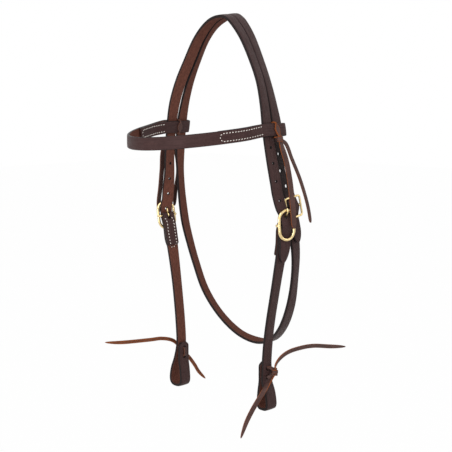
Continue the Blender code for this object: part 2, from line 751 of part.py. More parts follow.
def loop_rows(side, above):
    """Bit loop: down the outside, across the flat bottom and up the inside as a tab."""
    seat = loop_seat(side)
    tab = -(STRAP_THICK + LAYER_GAP)
    tie_end = TIE_HOLE_FIRST + TIE_HOLE_PITCH + TIE_HOLE_WIDTH
    floor = LOOP_LENGTH - STRAP_THICK / 2
    outside, inside = LOOP_BULGE_OUT[side], tab - LOOP_BULGE_IN
    middle = (outside + inside) / 2
    corner = (outside - inside - LOOP_FLAT) / 2
    widest = floor - corner - STRAP_THICK
    down = [
        Row(at(seat, 0.0, 0.0), seat.back),
        Row(at(seat, tie_end / 3, 0.0), seat.back),
        Row(at(seat, tie_end * 2 / 3, 0.0), seat.back),
        Row(at(seat, tie_end, 0.0), seat.back),
        Row(at(seat, (tie_end + widest) / 2, outside * 0.62), seat.back),
        Row(at(seat, widest, outside), seat.back),
    ]
    bottom = []
    for start, heart in ((0, middle + LOOP_FLAT / 2), (90, middle - LOOP_FLAT / 2)):
        for k in range(4):
            turn = radians(start + 30 * k)
            place = at(seat, floor - corner + corner * sin(turn), heart + corner * cos(turn))
            bottom.append(Row(place, seat.back, held=float(start + 30 * k == 90)))
    up = [
        Row(at(seat, widest, inside), seat.back),
        Row(at(seat, (tie_end + widest) / 2, tab + (inside - tab) * 0.62), seat.back),
    ]
    places = [at(seat, tie_end * k / 3, 0.0) for k in (3, 2, 1, 0)]
    return down + bottom + up + layer_rows(above + down, places, -tab, -SIDES[side])


def cheek_strap(side, group, cutters, look, buckle):
    """Cheek strap: sewn chape on the buckle bar, the strap, and the bit loop folded back inside."""
    middle = share_rows(CHEEK_SHARES, side)
    rows = chape_rows(buckle, CHEEK_CHAPE, cheek_route(side), SIDES[side])
    rows += middle + loop_rows(side, middle)
    name = side + "_cheek_strap"
    strap = ribbon(name, rows, STRAP_WIDTH, STRAP_THICK, group, look, 0.0, TAB_ROUND, TAB_BLUNT_SHARE)
    seat = loop_seat(side)
    depth = 4 * STRAP_THICK
    holes = []
    for k in range(2):
        middle = seat_matrix(seat, TIE_HOLE_FIRST + k * TIE_HOLE_PITCH, -STRAP_THICK / 2)
        holes.append((middle, TIE_HOLE_WIDTH, TIE_HOLE_WIDTH, depth))
    punch(side + " tie holes", strap, holes, cutters)
    slot(side + " tongue slot", strap, buckle, cutters)
    set_origin(strap, at(buckle.seat, 0.0, -buckle.bar_depth))
    return strap


def buckle_frame(name, buckle, group, look):
    """Rim with the centre bar standing behind it on two posts."""
    rim = wire(name + " rim", rim_points(buckle), buckle.wire, group, closed=True)
    bar_out, side = -buckle.bar_depth, buckle.half_width
    pieces = [rim]
    for k in (-1, 1):
        ends = [at(buckle.seat, 0.0, 0.0, k * side), at(buckle.seat, 0.0, bar_out, k * side)]
        pieces.append(wire(name + " post", ends, BAR_WIRE, group))
        pieces.append(ball(name + " hub", ends[1], HUB_WIRE, group))
    ends = [at(buckle.seat, 0.0, bar_out, -side), at(buckle.seat, 0.0, bar_out, side)]
    pieces.append(wire(name + " bar", ends, BAR_WIRE, group))
    frame = fuse(name, pieces, group, look)
    smooth(frame)
    return frame


def buckle_tongue(name, buckle, group, look):
    """Tongue: an eye round the bar and a pin that rises through the billet and lies on the rim."""
    seat, bar = buckle.seat, -buckle.bar_depth
    radius = BAR_WIRE / 2 + SEAT_GAP + TONGUE_WIRE / 2
    eye = [at(seat, radius * cos(a), bar + radius * sin(a)) for a in np.linspace(0, 2 * pi, 13)[:-1]]
    half = rim_half_length(buckle)
    rest = buckle.wire / 2 + SEAT_GAP + TONGUE_WIRE / 2
    crossing = tongue_crossing(buckle)
    level = billet_level(buckle, crossing)
    path = [
        (radius, bar),
        (crossing - STRAP_THICK * 0.8, min(bar + TONGUE_WIRE, level - STRAP_THICK * 0.9)),
        (crossing - STRAP_THICK * 0.25, level - STRAP_THICK / 2),
        (crossing + STRAP_THICK * 0.25, level + STRAP_THICK / 2),
        (half - buckle.wire * 0.6, rest - SEAT_GAP),
        (half, rest + SEAT_GAP / 2),
        (half + buckle.wire * 0.6, rest - TONGUE_WIRE / 4),
    ]
    rows = [Row(at(seat, -up, out), seat.back) for up, out in path]
    pin = [Vector(p) for p in spline(rows)[::3, :3]]
    pieces = [wire(name + " pin", pin, TONGUE_WIRE, group), wire(name + " eye", eye, TONGUE_WIRE, group, True)]
    tongue = fuse(name, pieces, group, look)
    smooth(tongue)
    set_origin(tongue, at(seat, 0.0, bar))
    return tongue


def brow_curve(turn_deg):
    """Middle of the browband's leather round the forehead, half an ellipse seen from above."""
    front = DEPTH * CROWN_SHARES[BROW_ROW][1] - STRAP_WIDTH / 2
    side = SPAN * CROWN_SHARES[BROW_ROW][0] + STRAP_THICK / 2 + WRAP_GAP + BROW_THICK / 2
    turn = radians(turn_deg)
    sag = BROW_SAG * sin(turn) * (1 - BROW_SKEW_SHARE * cos(turn))
    level = DROP * CROWN_SHARES[BROW_ROW][2] - sag
    return Vector((side * cos(turn), front - BROW_REACH * sin(turn), level))


def brow_seat(side):
    """Middle of the crown strap under the browband; the band goes square round the straps."""
    above, middle, below = [on_head(*CROWN_SHARES[BROW_ROW + k][:3], side) for k in (-1, 0, 1)]
    down = below - above
    down.y = 0
    down.normalize()
    back = Vector((0, 1, 0))
    return Seat(middle, down, side * down.cross(back), back)


def brow_end(side, outside):
    """End of the browband: along the inside, round behind the throat strap and back outside."""
    seat = brow_seat(side)
    up = -seat.down
    rear_edge = STRAP_WIDTH * 1.5 + brow_gap()
    radius = (STRAP_THICK + BROW_THICK) / 2 + WRAP_GAP
    front = -(STRAP_WIDTH + BROW_THICK) / 2
    straight = (front, front + STRAP_WIDTH / 2, rear_edge - STRAP_WIDTH / 2)
    turn = [Row(at(seat, 0.0, -radius, back), up) for back in straight]
    for k in range(7):
        angle = radians(30 * k)
        place = at(seat, 0.0, -radius * cos(angle), rear_edge - WRAP_GAP + radius * sin(angle))
        turn.append(Row(place, up))
    turn += [Row(at(seat, 0.0, radius, back), up) for back in straight[::-1]]
    angles = [BROW_LAP_DEG * share for share in (1.0, 0.8, 0.6, 0.4)]
    places = [brow_curve(angle if side > 0 else 180 - angle) for angle in angles]
    lap = layer_rows(turn[-1:] + outside, places, BROW_THICK + LAYER_GAP, side)
    return lap + turn


def browband(group, look):
    """Browband: one strap, each end folded round both cheek straps and sewn to its own inside."""
    round_head = [Row(brow_curve(15 * k), Vector((0, 0, 1))) for k in range(1, 12)]
    rows = brow_end(1, round_head) + round_head + brow_end(-1, round_head[::-1])[::-1]
    return ribbon("browband", rows, STRAP_WIDTH, BROW_THICK, group, look)


def tail_rows(start, table, side):
    """Free end of a string, from the knot to the tip."""
    rows = []
    for share, across in table:
        place = start + Vector((side * share[0] * SPAN, share[1] * DEPTH, share[2] * DROP))
        rows.append(Row(place, Vector((side * across[0], across[1], across[2]))))
    return rows


def knot(name, seat, down, out, back, group):
    """Hard knot: a core with two turns of the string round it."""
    pieces = [ball(name + " core", at(seat, down, out, back), KNOT_SIZE, group)]
    for k in (-1, 1):
        ring = []
        for angle in np.linspace(0, 2 * pi, 13)[:-1]:
            lean = k * (KNOT_WIRE / 2 + KNOT_WIRE * cos(angle) / 5)
            ring.append(at(seat, down + lean, out + KNOT_RING * cos(angle),
                           back + KNOT_RING * sin(angle)))
        pieces.append(wire(name + " turn", ring, KNOT_WIRE, group, True))
    return pieces


def tail(name, start, table, side, width, thick, group):
    """Free end of a string that leaves its knot."""
    rows = [Row(start, Vector((0, 1, 0)), 0.5)] + tail_rows(start, table, side)
    return ribbon(name, rows, width, thick, group, None, 0.0, 2 * width, TIP_WIDTH_SHARE, EDGE_ROUND / 2)


def brow_tie(side, group, look, upper, lower):
    """Browband string: round the band between the two straps, knotted below, with two free ends."""
    sign = SIDES[side]
    strap = brow_seat(sign)
    seat = strap._replace(origin=at(strap, 0.0, 0.0, (STRAP_WIDTH + brow_gap()) / 2))
    bend = STRING_THICK + 2 * SEAT_GAP
    layer = STRAP_THICK / 2 + WRAP_GAP + BROW_THICK + SEAT_GAP + STRING_THICK / 2
    over = STRAP_WIDTH / 2 + SEAT_GAP + STRING_THICK / 2
    pinch = STRING_THICK / STRING_WIDTH
    half, nearly = STRING_WIDTH / 2, (1 + pinch) / 2
    knot_down = over + KNOT_SIZE / 2
    knot_out = layer + KNOT_SIZE / 2
    slack = bend / 3
    inside = [
        (over, layer - bend), (over, 0.0), (over, bend - layer),
        (over - slack, slack - layer), (over - bend, -layer),
    ]
    path = [(knot_down - KNOT_SIZE / 6, knot_out - KNOT_SIZE / 3, 0.0, pinch)]
    path += [(down, out, 0.0, pinch) for down, out in inside]
    path += [(half / 2, -layer, 0.0, 1.0), (-half / 2, -layer, 0.0, 1.0)]
    path += [(-down, out, 0.0, pinch) for down, out in inside[::-1]]
    path += [(slack - over, layer - slack, 0.0, pinch), (bend - over, layer, 0.0, pinch)]
    path += [(-half / 2, layer, half / 4, 1.0), (half / 2, layer, half / 2, 1.0)]
    path += [(over - bend, layer + slack, half / 2, nearly)]
    path += [(knot_down - KNOT_SIZE / 6, knot_out + KNOT_SIZE / 6, half / 4, pinch)]
    rows = [Row(at(seat, down, out, back), seat.back, width) for down, out, back, width in path]
    name = side + "_browband_tie"
    pieces = knot(name, seat, knot_down, knot_out, 0.0, group)
    pieces.append(ribbon(name + " wrap", rows, STRING_WIDTH, STRING_THICK, group, None,
                         0.0, 0.0, 1.0, EDGE_ROUND / 2))
    start = at(seat, knot_down, knot_out)
    pieces.append(tail(name + " upper", start, upper, sign, STRING_WIDTH, STRING_THICK, group))
    pieces.append(tail(name + " lower", start, lower, sign, STRING_WIDTH, STRING_THICK, group))
    return fuse(name, pieces, group, look)


def bit_tie(side, group, look, upper, lower):
    """Bit tie: lace through both layers of the loop, knotted outside, with two free ends."""
    sign = SIDES[side]
    seat = loop_seat(side)
    first, last = TIE_HOLE_FIRST, TIE_HOLE_FIRST + TIE_HOLE_PITCH
    middle = (first + last) / 2
    face, lining = STRAP_THICK / 2, -1.5 * STRAP_THICK - LAYER_GAP
    inside = lining - SEAT_GAP - LACE_THICK / 2
    knot_out = face + KNOT_RING + KNOT_WIRE / 2 + SEAT_GAP
    knot_back = STRAP_WIDTH / 2
    quarter = TIE_HOLE_PITCH / 4
    back, down = seat.back, seat.down
    turned, nearly = (back + down).normalized(), (back * 0.4 + down).normalized()
    path = [
        (middle - quarter, knot_out, knot_back, down),
        (first - LACE_THICK / 3, face + LACE_THICK, STRAP_WIDTH / 8, nearly),
        (first, 0.0, 0.0, turned),
        (first, lining, 0.0, back),
        (first + LACE_THICK, inside, 0.0, back),
        (last - LACE_THICK, inside, 0.0, back),
        (last, lining, 0.0, back),
        (last, 0.0, 0.0, (back - down).normalized()),
        (last + LACE_THICK / 3, face + LACE_THICK, STRAP_WIDTH / 8, (back * 0.4 - down).normalized()),
        (middle + quarter, knot_out, knot_back, -down),
    ]
    rows = [Row(at(seat, *place[:3]), place[3]) for place in path]
    name = side + "_bit_tie"
    pieces = knot(name, seat, middle, knot_out, knot_back, group)
    pieces.append(ribbon(name + " strand", rows, LACE_WIDTH, LACE_THICK, group, None,
                         0.0, 0.0, 1.0, EDGE_ROUND / 2))
    start = at(seat, middle, knot_out, knot_back)
    pieces.append(tail(name + " upper", start, upper, sign, LACE_WIDTH, LACE_THICK, group))
    pieces.append(tail(name + " lower", start, lower, sign, LACE_WIDTH, LACE_THICK, group))
    return fuse(name, pieces, group, look)


def build():
    """Model the whole headstall."""
    for thing in list(bpy.data.objects):
        bpy.data.objects.remove(thing)
    group, cutters = collection("western_headstall"), collection("cutters")
    leather = material("harness leather", (0.075, 0.045, 0.037), 0.55, 0.0)
    string = material("latigo string", (0.090, 0.038, 0.024), 0.60, 0.0)
    brass = material("brass", (0.78, 0.60, 0.28), 0.25, 1.0)
    buckles = {side: oval_buckle(side) for side in SIDES}
    throat = square_buckle()
    crown_strap(group, cutters, leather, buckles)
    throat_strap(group, cutters, leather, throat)
    browband(group, leather)
    for side, buckle in buckles.items():
        cheek_strap(side, group, cutters, leather, buckle)
        buckle_frame(side + "_cheek_buckle_frame", buckle, group, brass)
        buckle_tongue(side + "_cheek_buckle_tongue", buckle, group, brass)
    buckle_frame("throat_buckle_frame", throat, group, brass)
    buckle_tongue("throat_buckle_tongue", throat, group, brass)
    brow_tie("near", group, string, NEAR_BROW_UPPER_SHARES, NEAR_BROW_LOWER_SHARES)
    brow_tie("far", group, string, FAR_BROW_UPPER_SHARES, FAR_BROW_LOWER_SHARES)
    bit_tie("near", group, string, NEAR_BIT_UPPER_SHARES, NEAR_BIT_LOWER_SHARES)
    bit_tie("far", group, string, FAR_BIT_UPPER_SHARES, FAR_BIT_LOWER_SHARES)


build()
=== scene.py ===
"""Western browband headstall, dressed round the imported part.

Frame: the horse faces -Y, its left ("near") side is +X, up is +Z, lengths are in metres. Every strap is
a rounded section carried along the route that the leather takes; every route is worked out from the
sizes of the head and of the leather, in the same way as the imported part.
"""

from collections import namedtuple
from math import cos, pi, radians, sin, sqrt

import bpy
import numpy as np
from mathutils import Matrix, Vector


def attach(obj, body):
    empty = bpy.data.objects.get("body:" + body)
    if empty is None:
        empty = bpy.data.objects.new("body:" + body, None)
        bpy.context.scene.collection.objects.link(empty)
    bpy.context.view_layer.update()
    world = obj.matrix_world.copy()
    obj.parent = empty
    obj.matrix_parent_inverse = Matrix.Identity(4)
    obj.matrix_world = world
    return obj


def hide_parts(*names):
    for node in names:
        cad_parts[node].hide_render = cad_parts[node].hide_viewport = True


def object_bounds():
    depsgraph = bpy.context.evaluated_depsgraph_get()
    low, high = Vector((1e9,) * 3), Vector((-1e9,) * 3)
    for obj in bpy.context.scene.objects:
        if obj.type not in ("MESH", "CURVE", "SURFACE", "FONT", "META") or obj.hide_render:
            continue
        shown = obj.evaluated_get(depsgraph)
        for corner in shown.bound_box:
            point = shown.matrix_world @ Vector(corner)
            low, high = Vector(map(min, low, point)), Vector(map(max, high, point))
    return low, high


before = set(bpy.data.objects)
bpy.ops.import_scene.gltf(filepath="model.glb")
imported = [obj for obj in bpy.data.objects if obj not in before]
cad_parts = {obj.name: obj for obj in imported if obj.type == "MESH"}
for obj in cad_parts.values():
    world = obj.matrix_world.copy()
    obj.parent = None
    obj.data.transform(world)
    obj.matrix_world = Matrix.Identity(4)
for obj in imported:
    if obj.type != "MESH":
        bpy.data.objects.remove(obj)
CAD_BOX = [list(corner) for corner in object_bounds()]

bl_info = {
    "name": "Western headstall",
    "version": (1, 0, 0),
    "blender": (4, 5, 0),
    "location": "View3D > Sidebar > Headstall",
    "description": "Builds a browband western headstall: straps, buckles, leather strings and stitching",
    "category": "Add Mesh",
}

SIDES = {"near": 1, "far": -1}

# Clearances between pieces that touch
SEAT_GAP = 0.00035
LAYER_GAP = 0.0006          # between the layers of one strap
WRAP_GAP = 0.0007           # between a strap and the leather round it or on it
SIDE_GAP = 0.0004           # beside the string that passes between the straps
STRAP_GAP = 0.0007          # between the crown strap and the throat strap

# Billets: the hole in use, the width of the others as shares of the hole width, and their places above
# it in shares of the pitch; then how far each billet reaches below the bar, and the length of its point
HOLE_LENGTH = 0.0050
TIGHT_HOLE_SHARE = 0.76     # on the cheek billets
WIDE_HOLE_SHARE = 1.22      # on the throat billet
HOLE_PLACES = {"near": (1, 2.15, 3.21, 4.13), "far": (1, 2, 3, 4), "throat": (1, 2, 3)}
CHEEK_TAIL = 0.0480
THROAT_TAIL = 0.0450
TIP_LENGTH = 0.0190
# Slack of each billet 36 mm and 20 mm above the bar: inwards and forwards
APPROACH = {
    "near": ((0.0025, 0.0035), (0.0015, 0.0020)),
    "far": ((0.0035, -0.0035), (0.0010, -0.0020)),
    "throat": ((0.0, 0.0), (0.0, 0.0)),
}

# Chapes: the folded and sewn ends on the buckle bars
CHAPE_THICK = 0.0024        # leather skived for the fold
LINING_THICK = 0.0028       # leather skived for the inner layer
CHEEK_CHAPE = 0.0405
THROAT_CHAPE = 0.0330
SEWN_SHORT = 0.0030         # the sewn stretch stops this far before the chape's end
SEWN_FROM_FOLD = 0.0090
U_CLOSES = 0.0095           # the outer stitches close in a U this far past the sewn stretch
U_SHOWS = 0.0004            # straight part of that U that also shows on the flesh side
LINING_CUT = 0.0010         # the lining's rows stop this far before its cut end

# Buckles: oval on the cheeks and square on the throatlatch; the bar lies behind the rim
OVAL_LENGTH = 0.0400
OVAL_SIDE_GAP = 0.0013
OVAL_WIRE = 0.0038
OVAL_BAR_DEPTH = 0.0060
SQUARE_LENGTH = 0.0280
SQUARE_SIDE_GAP = 0.0027
SQUARE_WIRE = 0.0027
SQUARE_CORNER = 0.0030
SQUARE_BAR_DEPTH = 0.0058
BAR_WIRE = 0.0030
BAR_CORNER = 0.0016         # bend where the bar turns up to the rim
HUB_WIRE = 0.0040           # the bar swells to this at the bends
HUB_REACH = 0.0012
TONGUE_WIRE = 0.0022
TONGUE_THINS = 0.22         # share of its thickness that the tongue loses towards its point
TONGUE_CROSS_SHARE = 0.57
TONGUE_HOLE_HALF = TONGUE_WIRE / 2 + 2 * SEAT_GAP      # half width of what the tongue passes through

# Bit loops
LOOP_LENGTH = 0.0620
LOOP_BULGE_OUT = {"near": 0.0080, "far": 0.0130}
LOOP_BULGE_IN = 0.0030
LOOP_OPENS_SHARE = {"near": 0.0, "far": 0.42}   # how far the layers already part beside the lace
LOOP_FLAT = 0.0060
LOOP_SPREAD = {"near": 1.14, "far": 1.08}       # leather that was bent wet is a little wider
TIE_HOLE_FIRST = 0.0080
TIE_HOLE_PITCH = 0.0110
TIE_HOLE_WIDTH = 0.0056
TIE_END = TIE_HOLE_FIRST + TIE_HOLE_PITCH + TIE_HOLE_WIDTH
TAB_ROUND = 0.0060          # rounding of the tab's end, and its least width as a share
TAB_BLUNT_SHARE = 0.55

# Strings and knots
STRING_THICK = 0.0018
KNOT_SIZE = 0.0062
KNOT_RING = 0.0028
KNOT_WIRE = 0.0030
KNOT_TURNS = 2.4
BROW_KNOT = (0.0045, 0.2)   # height and tilt of each knot
LACE_KNOT = (0.0075, 0.1)
STRING_ROUND = 0.0004       # rounding of a string's corners
WRAP_BORDER = 0.0018        # how far the cut colour reaches on to the faces of the string's turn
LACE_PALE = 0.45            # share of the cut colour on the lace between the layers

# Browband
BROW_SAG = 0.0145
BROW_SKEW_SHARE = 0.18
BROW_LAP_DEG = {"near": 34, "far": 28.5}               # how far round the turned-back ends reach
BROW_SEWN_FROM = {"near": 0.0055, "far": -0.0015}      # first stitch from the crown strap's front edge
SEWN_MARGIN = 0.0020        # the stitches stop this far before a cut end

# Crown strap from the poll to the buckles: across, fore and aft, and height in shares of the head's
# sizes, then the turn of the outer face towards the front in degrees, near and far
CROWN_SHARES = [
    (0.150, -0.046, -0.006, 0, 0),
    (0.285, -0.056, -0.020, -3, -3),
    (0.425, -0.075, -0.053, -8, -8),
    (0.572, -0.096, -0.106, -12, -12),
    (0.705, -0.128, -0.162, -12, -12),
    (0.797, -0.153, -0.218, -8, -8),
    (0.855, -0.162, -0.281, 0, 0),
    (0.910, -0.145, -0.348, 8, 2),
    (0.955, -0.112, -0.412, 10, -6),
]
BROW_ROW = 6                # the row above that lies under the browband
POLL_BACK_SHARE = -0.040
POLL_RISE_DEG = 6.0         # both straps rise backwards this much on top of the poll
# How much closer in the first rows are on the near side
NEAR_SHOULDER_IN = (0.035, 0.058, 0.046, 0.022)
# Throat strap behind the crown strap, row by row: share of the string's gap that lies between them, and
# the turn, near and far
BESIDE_SHARES = [
    (0.00, 0, 6), (0.00, -3, 19), (0.00, -8, 25), (0.05, -12, 25),
    (0.35, -14, 17), (0.85, -8, 9), (1.00, 0, 0),
]
# Throat strap below the browband, then the throatlatch down to its lowest place: columns as above
THROAT_BELOW_SHARES = {
    "near": [(0.870, 0.030, -0.350, 2, 7), (0.900, 0.058, -0.400, 6, 16)],
    "far": [(0.893, 0.032, -0.350, 2, 7), (0.926, 0.062, -0.400, 6, 16)],
}
THROAT_FAR_SHARES = [(0.958, 0.112, -0.452, 0, 17), (0.977, 0.160, -0.500, 0, 13)]
THROAT_LOW_SHARES = [
    (0.983, 0.213, -0.550, 0, 12),
    (0.961, 0.270, -0.600, -8, 15),
    (0.900, 0.325, -0.660, -13, 18),
    (0.774, 0.395, -0.740, -2, 18),
    (0.560, 0.490, -0.808, 2, 18),
    (0.290, 0.580, -0.853, 0, 10),
]
THROAT_BOTTOM_SHARE = (0.620, -0.866)
THROAT_BOTTOM_TILT_DEG = 8.0
# Cheek straps from below the chapes to the bit loops: columns as above
CHEEK_SHARES = [
    (0.935, -0.047, -0.648, -1, -6),
    (0.885, -0.052, -0.704, -3, 1),
    (0.842, -0.060, -0.756, -3, 2),
    (0.805, -0.066, -0.812, -2, 1),
]
LOOP_TOP_SHARE = (0.784, -0.070, -0.870)
# Buckles: place in shares of the head's sizes, turn in degrees, lean outwards and backwards
CHEEK_BUCKLE_SHARES = {
    "near": (1.090, -0.060, -0.513, 11, (0.02, 0.05)),
    "far": (1.072, -0.060, -0.525, -24, (-0.12, 0.05)),
}
THROAT_BUCKLE_SHARES = (1.015, 0.157, -0.473, 8, (0.08, 0.17))

# Free ends of the strings from knot to tip: places as shares from the knot, outwards, backwards and
# upwards, then the direction of the string's width there
BROW_TAIL_SHARES = {
    "near": (
        [((0.000, 0.110, -0.012), (0.0, 0.5, 0.9)), ((0.013, 0.211, -0.050), (0.0, 0.9, 0.5)),
         ((0.033, 0.351, -0.104), (0.0, 0.9, 0.5)), ((0.053, 0.479, -0.171), (0.0, 1.0, 0.3)),
         ((0.063, 0.529, -0.216), (0.0, 1.0, 0.2))],
        [((0.000, 0.040, -0.020), (0.0, 0.9, 0.5)), ((0.023, 0.093, -0.054), (0.3, 0.9, 0.3)),
         ((0.063, 0.110, -0.096), (0.4, 0.9, 0.2)), ((0.113, 0.093, -0.134), (0.4, 0.9, 0.0)),
         ((0.148, 0.078, -0.164), (0.4, 0.9, 0.0)), ((0.183, 0.067, -0.220), (0.3, 0.9, 0.0))]),
    "far": (
        [((0.040, -0.090, -0.045), (0.0, 0.9, -0.4)), ((0.045, -0.112, -0.097), (0.0, 1.0, -0.2)),
         ((0.118, -0.075, -0.147), (0.0, 1.0, 0.1)), ((0.200, -0.030, -0.187), (0.0, 1.0, 0.1)),
         ((0.215, -0.010, -0.218), (0.0, 1.0, 0.1))],
        [((0.010, 0.110, -0.045), (0.0, 0.9, 0.5)), ((0.025, 0.168, -0.100), (0.0, 1.0, 0.2)),
         ((0.063, 0.157, -0.155), (0.0, 1.0, 0.0)), ((0.083, 0.151, -0.200), (0.0, 1.0, 0.0))]),
}
BIT_TAIL_SHARES = {
    "near": (
        [((0.015, 0.006, 0.0200), (0.3, -0.9, 0.1)), ((0.030, 0.075, 0.0350), (0.1, -0.7, 0.7)),
         ((0.050, 0.196, 0.0460), (0.0, -0.4, 0.9)), ((0.070, 0.419, 0.0500), (0.0, -0.1, 1.0)),
         ((0.090, 0.646, 0.0480), (0.0, 0.0, 1.0)), ((0.120, 0.987, 0.0350), (0.0, 0.2, 1.0)),
         ((0.150, 1.257, 0.0260), (0.0, 0.2, 1.0))],
        [((0.020, -0.069, -0.011), (0.7, -0.7, -0.2)), ((0.030, -0.175, -0.028), (0.7, -0.5, -0.4)),
         ((0.030, -0.270, -0.045), (0.6, 0.5, -0.6)), ((0.030, -0.420, -0.073), (0.5, 0.6, -0.6)),
         ((0.030, -0.555, -0.105), (0.5, 0.6, -0.5)), ((0.030, -0.659, -0.142), (0.5, 0.6, -0.4))]),
    "far": (
        [((0.010, -0.124, 0.0260), (0.0, 0.7, 0.7)), ((0.030, -0.315, 0.0390), (0.0, 0.3, 0.9)),
         ((0.050, -0.524, 0.0420), (0.0, 0.1, 1.0)), ((0.120, -0.969, 0.0480), (0.0, 0.1, 1.0)),
         ((0.160, -1.211, 0.0550), (0.0, 0.1, 1.0))],
        [((0.000, 0.150, -0.029), (0.0, 0.7, 0.7)), ((0.000, 0.266, -0.057), (0.0, 0.8, 0.6)),
         ((0.000, 0.335, -0.077), (0.0, 0.8, 0.6)), ((0.000, 0.469, -0.104), (0.0, 0.8, 0.6))]),
}

# Each tail's width as a share of the string's, the length of its cut point, how much of the cut colour
# shows on its edges, and how far that colour reaches on to its faces
BROW_TAILS = {
    "near": ((0.64, 0.008, 0.50, 0.0), (0.92, 0.008, 0.62, 0.0)),
    "far": ((0.95, 0.012, 0.45, 0.0), (0.80, 0.012, 0.45, 0.0)),
}
BIT_TAILS = {
    "near": ((1.25, 0.034, 0.80, 0.0), (1.40, 0.034, 0.80, 0.0)),
    "far": ((1.15, 0.034, 0.80, 0.005), (1.15, 0.024, 0.80, 0.005)),
}
WRAP_PALE = {"near": 1.0, "far": 0.42}      # the same share on the browband string's turn

# Grid of the leather surfaces
SPLINE_STEP = 0.0006
STATION_STEP = 0.0016
STATION_TURN_DEG = 6.0
LINE_MARGIN = 0.0002        # lines on the face keep this far from the corner
FACE_LINES = np.array([0.0, 0.6, 1.2, 1.8, 2.4, 3.1, 3.8, 4.3, 4.7, 5.1, 5.55, 5.9, 6.2, 6.5]) / 1000
HOLE_REACH = 2.3            # the grid is drawn in to a hole from this many times its half size
SLOT_REACH = 1.6            # and to a slot, a hole longer than SLOT_HALF each way, from this many
SLOT_HALF = 0.005
HOLE_CELLS, SLOT_CELLS = 8, 28
HOLE_BLOCK = 0.0024         # half width of the block of grid cells that a hole takes out
HOLE_RIM = 0.00030          # rounding of a hole's rim
END_TAPER = 0.9             # share of the rounding that a strap's end takes
SHELL_STEP = 0.37           # sets the leather pattern of each string of a piece apart

# Form of the grain side
GRAIN_DOME = 0.00030        # a little rounded over the strap's width
CREASE_ROW = 0.0062         # creased line along both edges
CREASE_HALF = 0.0003
CREASE_DENT = 0.00014

# Colour of the edges, and the painted shade on the throat billet
EDGE_COLOUR_HALF = 0.0007   # it fades over this far to each side of the corner
CORNER_EDGE = 0.35          # least share of it on the corners
BORDER_EDGE = 0.75          # most of it that a string's border shows
PAINTED_SHADE_SHARE = 0.84         # share of it on the throat billet's stretch of painted shade, which fades in and out over the length below
PAINTED_SHADE_FADE = 0.006
PAINTED_SHADE_FROM = 0.004        # the painted shade on the throat billet starts this far above the tongue's hole
HOLE_EDGE_FADE = 1.6        # how fast it fades round a hole

# Stitching
STITCH_ROW = 0.0047         # from the strap's middle, where FACE_LINES has a line
STITCH_DENT = 0.00028       # depth of the dent along a seam, its half width and its fade at the ends
STITCH_DENT_HALF = 0.00045
STITCH_FADE = 0.001
STITCH_HALF_SHARE = 0.31    # half a stitch's length as a share of the pitch
STITCH_SLANT = 0.16
STITCH_AHEAD = 0.0002       # a stitch heads for the place this far on along its line
THREAD_PROUD = 0.16         # how far a stitch stands up and its ends dip, in shares of the thread
THREAD_DIP = 0.35
HOOK = 0.0030               # small turn in at the start of the lining's rows

# Studio: lamps with their azimuth from the front, elevation, distance, width and height, and power
LAMPS = {
    "Key": (28, 35, 1.9, (1.2, 1.2), 19),
    "Right": (124, 16, 1.9, (1.6, 0.5), 6),
    "Front": (12, -3, 2.2, (1.2, 0.8), 15),
}
LAMP_TARGET = (0, 0, -0.25)
WORLD_LIGHT = 0.45          # light from all round
FLOOR_BELOW = 0.22
FLOOR_HALF = 6
FLOOR_WHITE = 0.985
CAMERA_VIEW = (44, 7.7, 1.40)       # azimuth from the front, elevation, distance
CAMERA_TARGET = (0, 0, -0.2666)
SENSOR_WIDTH = 36                   # millimetres
FOCAL_LENGTH = SENSOR_WIDTH * 1076.9 / 452

Seat = namedtuple("Seat", "origin down out back")
Buckle = namedtuple("Buckle", "seat length half_width wire bar_depth corner")
Route = namedtuple("Route", "along place tangent across face width thick")
Hole = namedtuple("Hole", "along half_length half_width square", defaults=(2.0,))
Seam = namedtuple("Seam", "start end")


# ---------------------------------------------------------------- sizes and colours

def length_setting(name, description, default, low, high):
    """Setting for a length in metres."""
    return bpy.props.FloatProperty(name=name, description=description, default=default, min=low,
                                   max=high, precision=5, unit="LENGTH")


def colour_setting(name, description, default):
    """Setting for a colour."""
    return bpy.props.FloatVectorProperty(name=name, description=description, default=default, size=3,
                                         min=0, max=1, subtype="COLOR")


class HeadstallSizes(bpy.types.PropertyGroup):
    """Lengths of the head and of the leather."""
    span: length_setting("Half span", "Half the width across the cheeks at the buckles",
                         0.100, 0.05, 0.2)
    depth: length_setting("Fore and aft", "Measure of the head from front to back", 0.100, 0.05, 0.2)
    drop: length_setting("Drop", "Poll to the bottom of the bit loops", 0.4965, 0.3, 0.7)
    brow_reach: length_setting("Browband reach", "How far the browband stands forward of the cheeks",
                               0.118, 0.05, 0.2)
    strap_width: length_setting("Strap width", "Width of every strap", 0.0159, 0.0145, 0.020)
    strap_thick: length_setting("Strap thickness", "Thickness of the harness leather",
                                0.0040, 0.003, 0.006)
    brow_thick: length_setting("Browband thickness", "Thickness of the browband's lighter leather",
                               0.0034, 0.0026, 0.005)
    edge_round: length_setting("Edge rounding", "Radius of the burnished corners",
                               0.00105, 0.0003, 0.0012)
    hole_width: length_setting("Hole width", "Width that the billet holes are shares of",
                               0.0042, 0.003, 0.005)
    hole_pitch: length_setting("Hole pitch", "Distance between the billet holes", 0.0212, 0.012, 0.03)
    string_width: length_setting("String width", "Width of the strings that tie the browband",
                                 0.0075, 0.004, 0.009)
    lace_width: length_setting("Lace width", "Width of the laces that close the bit loops",
                               0.0042, 0.003, 0.006)
    stitch_pitch: length_setting("Stitch pitch", "Distance between the stitches", 0.0038, 0.002, 0.006)
    thread_thick: length_setting("Thread thickness", "Thickness of the sewing thread",
                                 0.00115, 0.0004, 0.0015)


